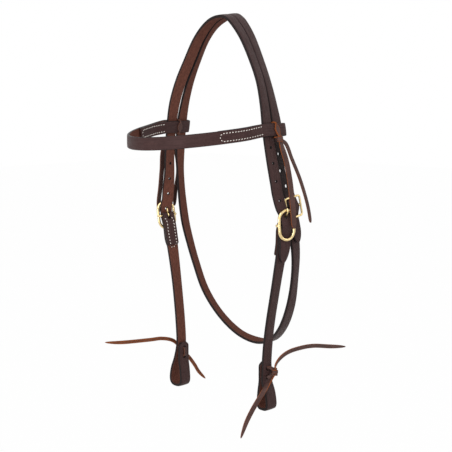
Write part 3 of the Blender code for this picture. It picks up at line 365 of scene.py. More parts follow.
class HeadstallColours(bpy.types.PropertyGroup):
    """Colours of the finishes."""
    grain: colour_setting("Grain side", "Oiled grain side of the straps", (0.052, 0.0265, 0.0252))
    flesh: colour_setting("Flesh side", "Inside of the straps", (0.122, 0.046, 0.032))
    # the edge colour is also painted on a stretch of the throat billet as shade
    edge: colour_setting("Edges", "Dyed and burnished edges", (0.016, 0.011, 0.011))
    string: colour_setting("String", "Dyed faces of the strings", (0.070, 0.033, 0.027))
    string_cut: colour_setting("String edge", "Cut edges of the strings", (0.26, 0.070, 0.018))
    brass: colour_setting("Brass", "Polished cast brass", (0.74, 0.58, 0.30))
    thread: colour_setting("Thread", "Waxed sewing thread", (0.78, 0.72, 0.66))
    floor: colour_setting("Floor", "Plain pale floor", (0.86, 0.86, 0.86))


# ---------------------------------------------------------------- directions and routes

def unit(vector):
    """Vectors of length one."""
    vector = np.asarray(vector, float)
    return vector / np.linalg.norm(vector, axis=-1, keepdims=True)


def on_head(size, across, back, up, side=1):
    """Place given in shares of the head's sizes."""
    return np.array([side * across * size.span, back * size.depth, up * size.drop])


def width_dir(turn_deg, side):
    """Backward width direction of an upright strap whose outer face is turned to the front."""
    turn = radians(turn_deg)
    return np.array([side * sin(turn), cos(turn), 0.0])


def seat_at(origin, turn_deg, lean, side):
    """Directions down the strap, outwards and backwards at an upright stretch of strap."""
    down = unit([side * lean[0], lean[1], -1])
    back = width_dir(turn_deg, side)
    back = unit(back - down * (back @ down))
    return Seat(origin, down, side * np.cross(down, back), back)


def at(seat, down=0.0, out=0.0, back=0.0):
    """Place given along the directions of a seat."""
    return seat.origin + seat.down * down + seat.out * out + seat.back * back


def row(place, across, width=1.0, thick=1.0):
    """One row of a route: a place, the strap's width direction, shares of width and thickness."""
    return np.array([*place, *unit(across), width, thick])


def run_length(place):
    """Length run from the first point to each point."""
    return np.concatenate([[0], np.cumsum(np.linalg.norm(np.diff(place, axis=0), axis=1))])


def spline(rows):
    """Centripetal spline: between two rows each value is blended from the four nearest rows, the
    blend spaced by the square root of their distances."""
    data = np.array(rows)
    gaps = np.linalg.norm(np.diff(data[:, :3], axis=0), axis=1)
    knots = np.concatenate([[0], np.cumsum(np.sqrt(gaps))])
    data = np.vstack([2 * data[0] - data[1], data, 2 * data[-1] - data[-2]])
    knots = np.concatenate([[2 * knots[0] - knots[1]], knots, [2 * knots[-1] - knots[-2]]])
    parts = []
    for i in range(1, len(knots) - 2):
        t0, t1, t2, t3 = knots[i - 1:i + 3]
        p0, p1, p2, p3 = data[i - 1:i + 3]
        t = np.linspace(t1, t2, max(2, int(np.ceil(gaps[i - 1] / SPLINE_STEP))), endpoint=False)[:, None]
        a1 = (t1 - t) / (t1 - t0) * p0 + (t - t0) / (t1 - t0) * p1
        a2 = (t2 - t) / (t2 - t1) * p1 + (t - t1) / (t2 - t1) * p2
        a3 = (t3 - t) / (t3 - t2) * p2 + (t - t2) / (t3 - t2) * p3
        b1 = (t2 - t) / (t2 - t0) * a1 + (t - t0) / (t2 - t0) * a2
        b2 = (t3 - t) / (t3 - t1) * a2 + (t - t1) / (t3 - t1) * a3
        parts.append((t2 - t) / (t2 - t1) * b1 + (t - t1) / (t2 - t1) * b2)
    return np.vstack(parts + [data[-2:-1]])


def route_of(rows, grain=1):
    """Route as dense columns. The face direction is tangent x across, times grain (1 or -1)."""
    data = spline(rows)
    place = data[:, :3]
    tangent = unit(np.gradient(place, axis=0))
    across = unit(data[:, 3:6] - tangent * np.sum(data[:, 3:6] * tangent, axis=1)[:, None])
    face = grain * np.cross(tangent, across)
    return Route(run_length(place), place, tangent, across, face, data[:, 6], data[:, 7])


def read(route, column, along):
    """Values of one column of a route at any array of lengths, by straight blending."""
    values = getattr(route, column)
    if values.ndim == 1:
        return np.interp(along, route.along, values)
    return np.stack([np.interp(along, route.along, part) for part in values.T], axis=-1)


def nearest(route, point, share_from=0.0, share_to=1.0):
    """Length at which a stretch of a route comes closest to a point."""
    total = route.along[-1]
    distance = np.linalg.norm(route.place - point, axis=1)
    distance[(route.along < share_from * total) | (route.along > share_to * total)] = 1.0
    return float(route.along[np.argmin(distance)])


def layer_rows(rows, places, depth, inward, thick=1.0):
    """Second layer of leather, parallel to a route, beside the given places on it."""
    data = spline(rows)
    place = data[:, :3]
    layer = []
    for wanted in places:
        i = int(np.argmin(np.linalg.norm(place - wanted, axis=1)))
        i = min(max(i, 1), len(place) - 2)
        down = unit(place[i + 1] - place[i - 1])
        across = unit(data[i, 3:6] - down * (data[i, 3:6] @ down))
        layer.append(row(place[i] + inward * np.cross(down, across) * depth, across, 1, thick))
    return layer


def share_rows(size, table, side):
    """Rows of a table of shares, on one side of the head."""
    rows = []
    for across, back, up, near_turn, far_turn in table:
        turn = near_turn if side == "near" else far_turn
        rows.append(row(on_head(size, across, back, up, SIDES[side]), width_dir(turn, SIDES[side])))
    return rows


# ---------------------------------------------------------------- buckles and the leather in them

def oval_buckle(size, side):
    """Cheek buckle, from its place on the head."""
    across, back, up, turn, lean = CHEEK_BUCKLE_SHARES[side]
    seat = seat_at(on_head(size, across, back, up, SIDES[side]), turn, lean, SIDES[side])
    half_width = size.strap_width / 2 + OVAL_SIDE_GAP + OVAL_WIRE / 2
    return Buckle(seat, OVAL_LENGTH, half_width, OVAL_WIRE, OVAL_BAR_DEPTH, half_width)


def square_buckle(size):
    """Throatlatch buckle, from its place on the head."""
    across, back, up, turn, lean = THROAT_BUCKLE_SHARES
    seat = seat_at(on_head(size, across, back, up), turn, lean, 1)
    half_width = size.strap_width / 2 + SQUARE_SIDE_GAP + SQUARE_WIRE / 2
    return Buckle(seat, SQUARE_LENGTH, half_width, SQUARE_WIRE, SQUARE_BAR_DEPTH, SQUARE_CORNER)


def rim_half(buckle):
    """Middle of the buckle to the middle of the rim's wire, along the strap."""
    return (buckle.length - buckle.wire) / 2


def near_rim(size, buckle):
    """Where the straps begin to pass the rim, measured from the bar."""
    radius = min(buckle.corner, buckle.half_width)
    edge = max(0.0, size.strap_width / 2 - (buckle.half_width - radius))
    return rim_half(buckle) - radius + sqrt(radius ** 2 - edge ** 2) - buckle.wire / 4


def billet_under(size, buckle):
    """Outward place of a billet's middle where it passes behind the rim."""
    return -(buckle.wire / 2 + SEAT_GAP + size.strap_thick / 2)


def billet_level(size, buckle, down):
    """Outward place of a billet's middle between the rim's two crossings: a cosine-squared hump over
    the bar."""
    under = billet_under(size, buckle)
    over = -buckle.bar_depth + BAR_WIRE / 2 + 2 * SEAT_GAP + CHAPE_THICK + size.strap_thick / 2
    return under + (over - under) * cos(pi / 2 * down / near_rim(size, buckle)) ** 2


def chape_level(size, buckle):
    """Outward place of the middle of the chape's outer layer at the rim."""
    return billet_under(size, buckle) - size.strap_thick - LAYER_GAP


def fold_radius():
    """Radius of the middle of the chape's leather round the bar."""
    return BAR_WIRE / 2 + SEAT_GAP + CHAPE_THICK / 2


def chape_outside(size, buckle):
    """Outer layer of the chape, from the fold to below the rim."""
    seat, outer, rim = buckle.seat, chape_level(size, buckle), near_rim(size, buckle)
    start = -buckle.bar_depth + fold_radius()
    nearly = (1 + CHAPE_THICK / size.strap_thick) / 2
    return [
        row(at(seat, rim / 2, (outer + start) / 2 - LAYER_GAP / 2), seat.back, 1, nearly),
        row(at(seat, rim, outer), seat.back),
        row(at(seat, rim * 1.5, outer), seat.back),
    ]


def billet_rows(size, buckle, tail, onward, side, approach):
    """Billet through its buckle: behind the rim, over the bar, behind the rim, down on the chape. It
    comes to the rim from the two offsets (inwards, forwards) of its approach."""
    seat, under, thick = buckle.seat, billet_under(size, buckle), size.strap_thick
    half, rim = rim_half(buckle), near_rim(size, buckle)
    (high_in, high_front), (low_in, low_front) = approach
    above = [
        row(at(seat, -2 * half, under - thick - high_in, -high_front), seat.back),
        row(at(seat, -half - buckle.wire / 2, under - thick / 6 - low_in, -low_front), seat.back),
    ]
    through = [row(at(seat, rim * k / 2, billet_level(size, buckle, rim * k / 2)), seat.back)
               for k in range(-2, 3)]
    places = [at(seat, rim + (tail - rim) * k / 3, chape_level(size, buckle)) for k in range(1, 4)]
    below = layer_rows(chape_outside(size, buckle) + onward, places, -thick - WRAP_GAP, -side)
    return above + through + below


def chape_rows(size, buckle, length, onward, side):
    """Chape: up the inside, round the bar and down the outside, leather skived at the fold."""
    seat, bar, fold, rim = buckle.seat, -buckle.bar_depth, fold_radius(), near_rim(size, buckle)
    thin, lining = CHAPE_THICK / size.strap_thick, LINING_THICK / size.strap_thick
    outside, level = chape_outside(size, buckle), chape_level(size, buckle)
    depth = (size.strap_thick + LINING_THICK) / 2 + LAYER_GAP
    places = [at(seat, rim + (length - rim) * k / 3, level) for k in range(4)]
    inside = layer_rows(outside + onward, places, depth, -side, lining)
    inner = (level - depth + bar - fold) / 2 - LAYER_GAP / 2
    inside.insert(0, row(at(seat, rim / 2, inner), seat.back, 1, lining))
    turn = [row(at(seat, -fold * sin(a), bar - fold * cos(a)), seat.back, 1, thin)
            for a in np.linspace(0, pi, 7)]
    return inside[::-1] + turn + outside


def tongue_crossing(buckle):
    """How far above the bar the tongue comes up through the billet."""
    return rim_half(buckle) * TONGUE_CROSS_SHARE


def billet_holes(size, buckle, middle, onward, places, width):
    """Row of holes up a billet from the tongue's, at shares of the pitch; onward is 1 where the route
    runs up the billet."""
    first = tongue_crossing(buckle)
    in_use = Hole(middle + onward * first, HOLE_LENGTH / 2, TONGUE_HOLE_HALF)
    return [in_use] + [Hole(middle + onward * (first + k * size.hole_pitch), width / 2, width / 2)
                       for k in places]


def tongue_slot(buckle, route, share_from, share_to):
    """Slot round the fold of a chape, through which the tongue's eye sits on the bar."""
    fold = nearest(route, at(buckle.seat, -fold_radius(), -buckle.bar_depth), share_from, share_to)
    eye = BAR_WIRE / 2 + SEAT_GAP + TONGUE_WIRE
    return Hole(fold, fold_radius() * pi / 2 + eye + 5 * SEAT_GAP, TONGUE_HOLE_HALF, 5.0)


# ---------------------------------------------------------------- routes of the straps

def poll_across():
    """Width direction of both straps on top of the poll."""
    rise = radians(POLL_RISE_DEG)
    return np.array([0.0, cos(rise), sin(rise)])


def level_out(size, first):
    """Near the poll a row keeps the lift and the width direction that the strap has on top."""
    lift = np.array([0, 0, size.strap_thick / 2])
    return row(first[:3] + lift, first[3:6] + poll_across(), first[6], first[7])


def loop_seat(size, side):
    """Top of the bit loop, with its directions."""
    return seat_at(on_head(size, *LOOP_TOP_SHARE, SIDES[side]), 0, (0, 0), SIDES[side])


def cheek_route(size, side):
    """Middle of a cheek strap from below its chape to the top of the bit loop."""
    seat = loop_seat(size, side)
    return share_rows(size, CHEEK_SHARES, side) + [row(seat.origin, seat.back)]


def brow_gap():
    """Gap between the two straps where the browband string passes between them."""
    return STRING_THICK + 2 * SIDE_GAP


def poll_row(size, back=0.0):
    """Row on top of the poll."""
    lift = np.array([0, 0, size.strap_thick / 2])
    return row(on_head(size, 0, POLL_BACK_SHARE, 0) + lift + poll_across() * back, poll_across())


def crown_shares(side):
    """Places of the crown strap down one side."""
    closer = NEAR_SHOULDER_IN if side == "near" else ()
    return [(crown[0] - closer[k] if k < len(closer) else crown[0], *crown[1:])
            for k, crown in enumerate(CROWN_SHARES)]


def crown_route(size):
    """Crown strap from the far billet's point, over the poll, to the near billet's point."""
    near, far = [share_rows(size, crown_shares(side), side) for side in ("near", "far")]
    near[0], far[0] = level_out(size, near[0]), level_out(size, far[0])
    near_end, far_end = [billet_rows(size, oval_buckle(size, side), CHEEK_TAIL, cheek_route(size, side),
                                     SIDES[side], APPROACH[side]) for side in ("near", "far")]
    return route_of(far_end[::-1] + far[::-1] + [poll_row(size)] + near + near_end, 1)


def beside_crown(size, side):
    """Throat strap lying behind the crown strap, from the poll to the browband."""
    rows = []
    for crown, (share, near_turn, far_turn) in zip(crown_shares(side), BESIDE_SHARES):
        turn = near_turn if side == "near" else far_turn
        gap = STRAP_GAP + share * (brow_gap() - STRAP_GAP)
        gap += size.strap_thick / 2 * abs(sin(radians(turn - crown[3])))
        behind, across = width_dir(crown[3], SIDES[side]), width_dir(turn, SIDES[side])
        place = on_head(size, crown[0], crown[1], crown[2], SIDES[side])
        place = place + behind * (size.strap_width / 2 + gap) + across * size.strap_width / 2
        rows.append(row(place, across))
    return rows


def throat_loop(size):
    """Throatlatch from the far side under the throat to the near side."""
    tilt = radians(THROAT_BOTTOM_TILT_DEG)
    bottom = row(on_head(size, 0, *THROAT_BOTTOM_SHARE), [0, cos(tilt), sin(tilt)])
    far, near = [share_rows(size, THROAT_LOW_SHARES, side) for side in ("far", "near")]
    return far + [bottom] + near[::-1]


def throat_route(size):
    """Throat strap from its billet's point up the near side, over the poll, down the far side, under
    the throat and up to its own chape."""
    buckle = square_buckle(size)
    near, far = beside_crown(size, "near"), beside_crown(size, "far")
    near[0], far[0] = level_out(size, near[0]), level_out(size, far[0])
    loop = throat_loop(size)
    upper = near + share_rows(size, THROAT_BELOW_SHARES["near"], "near")
    far_side = far + share_rows(size, THROAT_BELOW_SHARES["far"] + THROAT_FAR_SHARES, "far")
    billet = upper + billet_rows(size, buckle, THROAT_TAIL, loop[::-1], 1, APPROACH["throat"])
    chape = chape_rows(size, buckle, THROAT_CHAPE, loop[::-1], 1)
    top = poll_row(size, size.strap_width + STRAP_GAP)
    return route_of(billet[::-1] + [top] + far_side + loop + chape[::-1], -1)


def loop_opening(side, down):
    """How far the outer layer of the loop already stands off beside the lace."""
    return LOOP_OPENS_SHARE[side] * LOOP_BULGE_OUT[side] * (down / TIE_END) ** 1.5


def loop_rows(size, side, above):
    """Bit loop: down the outside, across the flat bottom and up the inside as a tab."""
    seat = loop_seat(size, side)
    tab = -(size.strap_thick + LAYER_GAP)
    floor = LOOP_LENGTH - size.strap_thick / 2
    outside, inside, wide = LOOP_BULGE_OUT[side], tab - LOOP_BULGE_IN, LOOP_SPREAD[side]
    middle, corner = (outside + inside) / 2, (outside - inside - LOOP_FLAT) / 2
    widest = floor - corner - size.strap_thick
    early = loop_opening(side, TIE_END)
    down = [row(at(seat, TIE_END * k / 3, loop_opening(side, TIE_END * k / 3)), seat.back,
                1 + (wide - 1) * k / 3) for k in range(4)]
    down += [row(at(seat, (TIE_END + widest) / 2, early + (outside - early) * 0.66), seat.back, wide),
             row(at(seat, widest, outside), seat.back, wide)]
    bottom = []
    for start, heart in ((0, middle + LOOP_FLAT / 2), (90, middle - LOOP_FLAT / 2)):
        for k in range(4):
            turn = radians(start + 30 * k)
            bottom.append(row(at(seat, floor - corner + corner * sin(turn), heart + corner * cos(turn)),
                              seat.back, wide))
    up = [row(at(seat, widest, inside), seat.back, wide),
          row(at(seat, (TIE_END + widest) / 2, tab + (inside - tab) * 0.62), seat.back, wide)]
    tab_rows = [row(at(seat, TIE_END * k / 3, tab), seat.back, wide) for k in (3, 2, 1)]
    top = layer_rows(above + down, [seat.origin], -tab, -SIDES[side])
    for end in top:
        end[6] = wide
    return down + bottom + up + tab_rows + top


def cheek_strap_route(size, side):
    """Cheek strap from the lining of its chape, round the bar, down, and round the bit loop."""
    middle = share_rows(size, CHEEK_SHARES, side)
    rows = chape_rows(size, oval_buckle(size, side), CHEEK_CHAPE, cheek_route(size, side), SIDES[side])
    return route_of(rows + middle + loop_rows(size, side, middle), SIDES[side])


def brow_curve(size, turn_deg):
    """Middle of the browband's leather round the forehead: half an ellipse seen from above, which
    sags by a skewed sine."""
    front = size.depth * CROWN_SHARES[BROW_ROW][1] - size.strap_width / 2
    side = size.span * CROWN_SHARES[BROW_ROW][0] + (size.strap_thick + size.brow_thick) / 2 + WRAP_GAP
    turn = radians(turn_deg)
    sag = BROW_SAG * sin(turn) * (1 - BROW_SKEW_SHARE * cos(turn))
    level = size.drop * CROWN_SHARES[BROW_ROW][2] - sag
    return np.array([side * cos(turn), front - size.brow_reach * sin(turn), level])


def brow_seat(size, side):
    """Middle of the crown strap under the browband; the band goes square round the straps."""
    above, middle, below = [on_head(size, *CROWN_SHARES[BROW_ROW + k][:3], side) for k in (-1, 0, 1)]
    down = below - above
    down = unit([down[0], 0, down[2]])
    back = np.array([0.0, 1.0, 0.0])
    return Seat(middle, down, side * np.cross(down, back), back)


def brow_end(size, side, outside):
    """End of the browband: along the inside, round behind the throat strap and back outside."""
    seat = brow_seat(size, side)
    up = -seat.down
    rear_edge = size.strap_width * 1.5 + brow_gap()
    radius = (size.strap_thick + size.brow_thick) / 2 + WRAP_GAP
    front = -(size.strap_width + size.brow_thick) / 2
    straight = (front, front + size.strap_width / 2, rear_edge - size.strap_width / 2)
    turn = [row(at(seat, 0.0, -radius, back), up) for back in straight]
    turn += [row(at(seat, 0.0, -radius * cos(a), rear_edge - WRAP_GAP + radius * sin(a)), up)
             for a in np.linspace(0, pi, 7)]
    turn += [row(at(seat, 0.0, radius, back), up) for back in straight[::-1]]
    angles = [BROW_LAP_DEG["near" if side > 0 else "far"] * share for share in (1.0, 0.8, 0.6, 0.4)]
    places = [brow_curve(size, angle if side > 0 else 180 - angle) for angle in angles]
    return layer_rows(turn[-1:] + outside, places, size.brow_thick + LAYER_GAP, side) + turn


def browband_route(size):
    """Browband from the near turned-back end round the forehead to the far one."""
    round_head = [row(brow_curve(size, 15 * k), [0, 0, 1]) for k in range(1, 12)]
    near, far = brow_end(size, 1, round_head), brow_end(size, -1, round_head[::-1])
    return route_of(near + round_head + far[::-1], -1)


# ---------------------------------------------------------------- leather surface

def hole_grid(hole):
    """Cells along a hole's block, how far out the grid is drawn in to it, and the lines beyond its end.
    Both are in half lengths of the hole."""
    if hole.half_length < SLOT_HALF:
        return HOLE_CELLS, HOLE_REACH, np.array([1.25, 1.6, 2.0])
    return SLOT_CELLS, SLOT_REACH, np.array([1.1, 1.2])


def stations(route, holes, points):
    """Lengths along a route at which the section is set. They are spread evenly over a running sum of
    length and of turn, drawn to quarter-circle spacing in pointed ends, and lie on a block of lines
    at each hole. points are the lengths of the pointed start and end."""
    step = np.diff(route.along)
    turn = np.linalg.norm(np.diff(route.tangent, axis=0), axis=1)
    twist = np.linalg.norm(np.diff(route.across, axis=0), axis=1)
    need = np.maximum(step / STATION_STEP, np.maximum(turn, twist) / radians(STATION_TURN_DEG))
    count = np.concatenate([[0], np.cumsum(need)])
    marks = np.interp(np.linspace(0, count[-1], int(np.ceil(count[-1])) + 1), count, route.along)
    total = route.along[-1]
    for hole in holes:
        marks = marks[np.abs(marks - hole.along) > HOLE_REACH * hole.half_length]
        cells, _, beyond = hole_grid(hole)
        lines = np.concatenate([np.linspace(-1, 1, cells + 1), -beyond, beyond])
        marks = np.concatenate([marks, hole.along + hole.half_length * lines])
    for length, start in zip(points, (True, False)):
        quarter = length * (1 - np.cos(np.linspace(0, pi / 2, 15)))
        distance = marks if start else total - marks
        marks = marks[distance > length]
        marks = np.concatenate([marks, quarter if start else total - quarter])
    marks = np.sort(np.clip(marks, 0, total))
    return marks[np.concatenate([[True], np.diff(marks) > 1e-6])]


def section(lines, half_width, rounding):
    """Outline of a strap's cross-section as a loop: the face lines, a quarter circle at each corner,
    and a point half way down each edge. Columns: across in metres, level of the corner's middle (-1,
    0 or 1), share of the rounding above it (-1..1), and how much of an edge the point is (0..1).
    Also how many points each face has, and at which point the flesh side starts."""
    flat = half_width - rounding
    lines = lines[lines < flat - LINE_MARGIN]
    lines = np.concatenate([-lines[:0:-1], lines])
    lines = np.concatenate([[-flat], lines, [flat]])
    angle = radians(90) - np.linspace(0, pi / 2, 5)[1:]
    top = np.stack([lines, np.ones_like(lines), np.ones_like(lines),
                    np.clip((np.abs(lines) - flat + EDGE_COLOUR_HALF) / (2 * EDGE_COLOUR_HALF), 0, 1)])
    arc = np.stack([flat + rounding * np.cos(angle), np.ones_like(angle), np.sin(angle),
                    0.5 + 0.5 * np.cos(angle)])
    middle = np.array([[half_width], [0], [0], [1]])
    down = arc[:, ::-1] * np.array([[1], [-1], [-1], [1]])
    right = np.concatenate([arc, middle, down], axis=1)
    bottom = top[:, ::-1] * np.array([[1], [-1], [-1], [1]])
    left = right[:, ::-1] * np.array([[-1], [1], [1], [1]])
    loop = np.concatenate([top, right, bottom, left], axis=1)
    return loop, len(lines), len(lines) + right.shape[1]


def end_scale(marks, total, points, blunt, rounding, half_width, half_thick):
    """Shares of width and of thickness at each station: a circle's outline in a pointed end, and a
    quarter round over the last of the length."""
    width, thick = np.ones_like(marks), np.ones_like(marks)
    for length, distance in zip(points, (marks, total - marks)):
        if length > 0:
            inner = np.clip(1 - distance / length, 0, 1)
            width *= np.maximum(blunt, np.sqrt(1 - inner ** 2))
        lip = rounding * (1 - np.sqrt(1 - np.clip(1 - distance / rounding, 0, 1) ** 2))
        width *= 1 - END_TAPER * lip / half_width
        thick *= 1 - END_TAPER * lip / half_thick
    return width, thick


def within(marks, stretch, fade):
    """1 inside a stretch of the length, falling in a straight line to 0 at both ends of it."""
    return np.clip((marks - stretch.start) / fade, 0, 1) * np.clip((stretch.end - marks) / fade, 0, 1)


def groove(loop, place, half, depth):
    """Depth of a groove along both edges of the grain side: a bell curve across it."""
    return depth * np.exp(-((np.abs(loop[0]) - place) / half) ** 2) * (loop[2] == 1)


def draw_in(hole, along, across):
    """Grid drawn in round a hole from a square block to the hole's outline. Returns the new places, how
    far out each point lies in half sizes of the block, which points move, and the outline there."""
    local = np.stack([along - hole.along, across], axis=-1)
    q = local / np.array([hole.half_length, HOLE_BLOCK])
    reach = np.abs(q).max(axis=-1)
    on_ring = q / np.maximum(reach, 1e-9)[..., None]
    shape = np.maximum((np.abs(on_ring) ** hole.square).sum(axis=-1) ** (1 / hole.square), 1e-6)
    half = np.array([hole.half_length, hole.half_width])
    outline = on_ring * (half + HOLE_RIM) / shape[..., None]
    farthest = hole_grid(hole)[1]
    share = np.clip((reach - 1) / (farthest - 1), 0, 1)
    share = share * share * (3 - 2 * share)
    drawn = outline * (1 - share[..., None]) + local * share[..., None]
    moves = (reach < farthest) & (reach > 0.999)
    return drawn, reach, moves, on_ring * half / shape[..., None]


def hole_walls(vertex, faces, grid, half_thick, walls):
    """Wall of each hole: four rings of new points from the grain face to the flesh face, the outer ones
    on the rounded rims. New faces are added to faces; the columns of points come back longer."""
    for i, j, k, hole, outline in walls:
        deep_here = half_thick[i, j]
        previous = grid[i, j]
        for grow, inset, sign in ((0.3, 0.3, 1), (0.0, 1.0, 1), (0.0, 1.0, -1), (0.3, 0.3, -1)):
            start = len(vertex[0])
            place = outline * (1 + grow * HOLE_RIM / np.linalg.norm(outline, axis=1)[:, None])
            z = sign * (deep_here - inset * HOLE_RIM)
            new = [hole.along + place[:, 0], place[:, 1], z, np.ones_like(z), z / deep_here]
            vertex = [np.concatenate([old, more]) for old, more in zip(vertex, new)]
            ring = np.arange(start, start + len(z))
            faces.append(np.stack([previous, ring, np.roll(ring, -1), np.roll(previous, -1)], axis=-1))
            previous = ring
        low = grid[i, k]
        faces.append(np.stack([previous, low, np.roll(low, -1), np.roll(previous, -1)], axis=-1))
    return vertex


def leather_shell(route, width, thick, rounding, lines=FACE_LINES, holes=(), points=(0, 0), blunt=0.05,
                  seams=(), painted_shade=(), border=0.0, dome=GRAIN_DOME, crease=CREASE_DENT):
    """Strap surface of two parameters, the length along the route and the place round the section:
    point = route + across * x + face * z. Round each hole the grid is drawn in from a square block to
    the hole's outline, and a wall joins the two faces. Seams are dented along the stitch rows, and on
    stretches of painted shade the grain side takes the edge colour. Returns points, faces, the place on
    the strap (length, across, level) and how much of an edge or of painted shade each point is."""
    marks = stations(route, holes, points)
    loop, face_count, low_start = section(lines, width / 2, rounding)
    around = loop.shape[1]
    wide, deep = end_scale(marks, route.along[-1], points, blunt, rounding, width / 2, thick / 2)
    wide = wide * read(route, "width", marks)
    deep = deep * read(route, "thick", marks)
    along = np.repeat(marks[:, None], around, axis=1)
    across = loop[0] * wide[:, None]
    edge = np.repeat(loop[3][None], len(marks), axis=0)
    is_face = np.abs(loop[2]) == 1
    edge = np.where(is_face, edge, np.maximum(edge, CORNER_EDGE))
    # painted shade: on these stretches the grain side takes the edge colour, to darken strap that lies
    # in shade
    for stretch in painted_shade:
        shown = within(marks, stretch, PAINTED_SHADE_FADE)
        edge = np.maximum(edge, shown[:, None] * PAINTED_SHADE_SHARE * (loop[2] == 1))
    if border:
        from_edge = width / 2 * wide[:, None] - np.abs(across)
        edge = np.maximum(edge, np.clip(1 - from_edge / border, 0, BORDER_EDGE))
    walls = []
    dropped = np.zeros((len(marks) - 1, around), bool)
    half_line = int(np.argmin(np.abs(loop[0, :face_count] - HOLE_BLOCK)))
    low_line = face_count - 1 - half_line
    opposite = low_start + face_count - 1
    for hole in holes:
        drawn, reach, moves, outline = draw_in(hole, along, across)
        inside = is_face[None] & moves
        along = np.where(inside, hole.along + drawn[..., 0], along)
        across = np.where(inside, drawn[..., 1], across)
        faded = np.clip(1 - (reach - 1) * HOLE_EDGE_FADE, 0, 1)
        edge = np.where(inside, np.maximum(edge, faded), edge)
        i0 = int(np.argmin(np.abs(marks - (hole.along - hole.half_length))))
        count = hole_grid(hole)[0]
        i1 = i0 + count
        j0, j1 = low_line, half_line
        dropped[i0:i1, j0:j1] = True
        dropped[i0:i1, opposite - j1:opposite - j0] = True
        i = np.concatenate([np.full(j1 - j0, i0), np.arange(i0, i1),
                            np.full(j1 - j0, i1), np.arange(i1, i0, -1)])
        j = np.concatenate([np.arange(j0, j1), np.full(count, j1),
                            np.arange(j1, j0, -1), np.full(count, j0)])
        walls.append((i, j, opposite - j, hole, outline[i, j]))
    half_thick = thick / 2 * read(route, "thick", along) * (deep / read(route, "thick", marks))[:, None]
    level = loop[1] * (half_thick - rounding) + loop[2] * rounding
    out_of_middle = np.abs(loop[0]) / (width / 2)
    level = level - dome * out_of_middle ** 2 * (loop[2] > 0)
    level = level - groove(loop, CREASE_ROW, CREASE_HALF, crease)
    for seam in seams:
        dent = groove(loop, STITCH_ROW, STITCH_DENT_HALF, STITCH_DENT)
        level = level - within(marks, seam, STITCH_FADE)[:, None] * dent
    grid = np.arange(along.size).reshape(along.shape)
    vertex = [along.ravel(), across.ravel(), level.ravel(), edge.ravel(),
              np.clip(level / np.maximum(half_thick, 1e-6), -1, 1).ravel()]
    a, b = grid[:-1], grid[1:]
    quads = np.stack([a, b, np.roll(b, -1, axis=1), np.roll(a, -1, axis=1)], axis=-1)[~dropped]
    faces = [quads.reshape(-1, 4)]
    s, x, z, edge, level = hole_walls(vertex, faces, grid, half_thick, walls)
    quads = np.concatenate(faces)
    middle, across, face = [read(route, key, s) for key in ("place", "across", "face")]
    place = middle + across * x[:, None] + face * z[:, None]
    right_handed = np.sum(np.cross(route.tangent[0], route.across[0]) * route.face[0]) > 0
    caps = [grid[0].tolist(), grid[-1, ::-1].tolist()]
    if not right_handed:
        quads = quads[:, ::-1]
        caps = [cap[::-1] for cap in caps]
    return place, quads.tolist() + caps, np.stack([s, x, level], axis=-1), edge


def leather_piece(name, *shells):
    """Mesh object of one or more leather shells, with their attributes."""
    place, faces = join([shell[:2] for shell in shells])
    strap = np.vstack([shell[2] + SHELL_STEP * k for k, shell in enumerate(shells)])
    edge = np.concatenate([shell[3] for shell in shells])
    # the edge attribute also holds the painted shade on the throat billet
    return make_mesh(name, place, faces, {"strap": strap, "edge": edge})


def make_mesh(name, place, faces, attributes=None):
    """Mesh object from arrays: unused points are dropped, faces are smooth, attributes lie on the
    points."""
    corners = np.concatenate(faces)
    used = np.zeros(len(place), bool)
    used[corners] = True
    number = np.cumsum(used) - 1
    ends = np.cumsum([len(face) for face in faces])[:-1]
    faces = [face.tolist() for face in np.split(number[corners], ends)]
    mesh = bpy.data.meshes.new(name)
    mesh.from_pydata(place[used].tolist(), [], faces)
    for key, values in (attributes or {}).items():
        values = np.asarray(values, np.float32)[used]
        kind, field = ("FLOAT", "value") if values.ndim == 1 else ("FLOAT_VECTOR", "vector")
        mesh.attributes.new(key, kind, "POINT").data.foreach_set(field, values.ravel())
    mesh.shade_smooth()
    mesh.validate()
    old = bpy.data.objects.get(name)
    if old:
        bpy.data.objects.remove(old)
    made = bpy.data.objects.new(name, mesh)
    bpy.context.scene.collection.objects.link(made)
    if not mesh.polygons:
        raise RuntimeError(name + " came out with no faces")
    return made


def tube(points, radius, closed=False, sides=14, flat=None):
    """Round bar: circles of the given radius, one at each point, turned square to the line. Returns
    points and faces. A flat direction and share squash the circle that way."""
    points = np.asarray(points, float)
    count = len(points)
    radius = np.broadcast_to(radius, (count,))
    if closed:
        tangent = unit(np.roll(points, -1, axis=0) - np.roll(points, 1, axis=0))
    else:
        tangent = unit(np.gradient(points, axis=0))
    guide = np.array([0.31, 0.17, 0.93]) if flat is None else np.asarray(flat[0], float)
    first = unit(guide - tangent * (tangent @ guide)[:, None])
    second = np.cross(tangent, first)
    angle = np.linspace(0, 2 * pi, sides, endpoint=False)
    squash = 1.0 if flat is None else flat[1]
    ring = (first[:, None] * (np.cos(angle) * squash)[None, :, None]
            + second[:, None] * np.sin(angle)[None, :, None]) * radius[:, None, None]
    place = (points[:, None] + ring).reshape(-1, 3)
    grid = np.arange(count * sides).reshape(count, sides)
    a, b = (grid, np.roll(grid, -1, axis=0)) if closed else (grid[:-1], grid[1:])
    quads = np.stack([a, np.roll(a, -1, axis=1), np.roll(b, -1, axis=1), b], axis=-1)
    quads = quads.reshape(-1, 4).tolist()
    if not closed:
        quads += [grid[0, ::-1].tolist(), grid[-1].tolist()]
    return place, quads


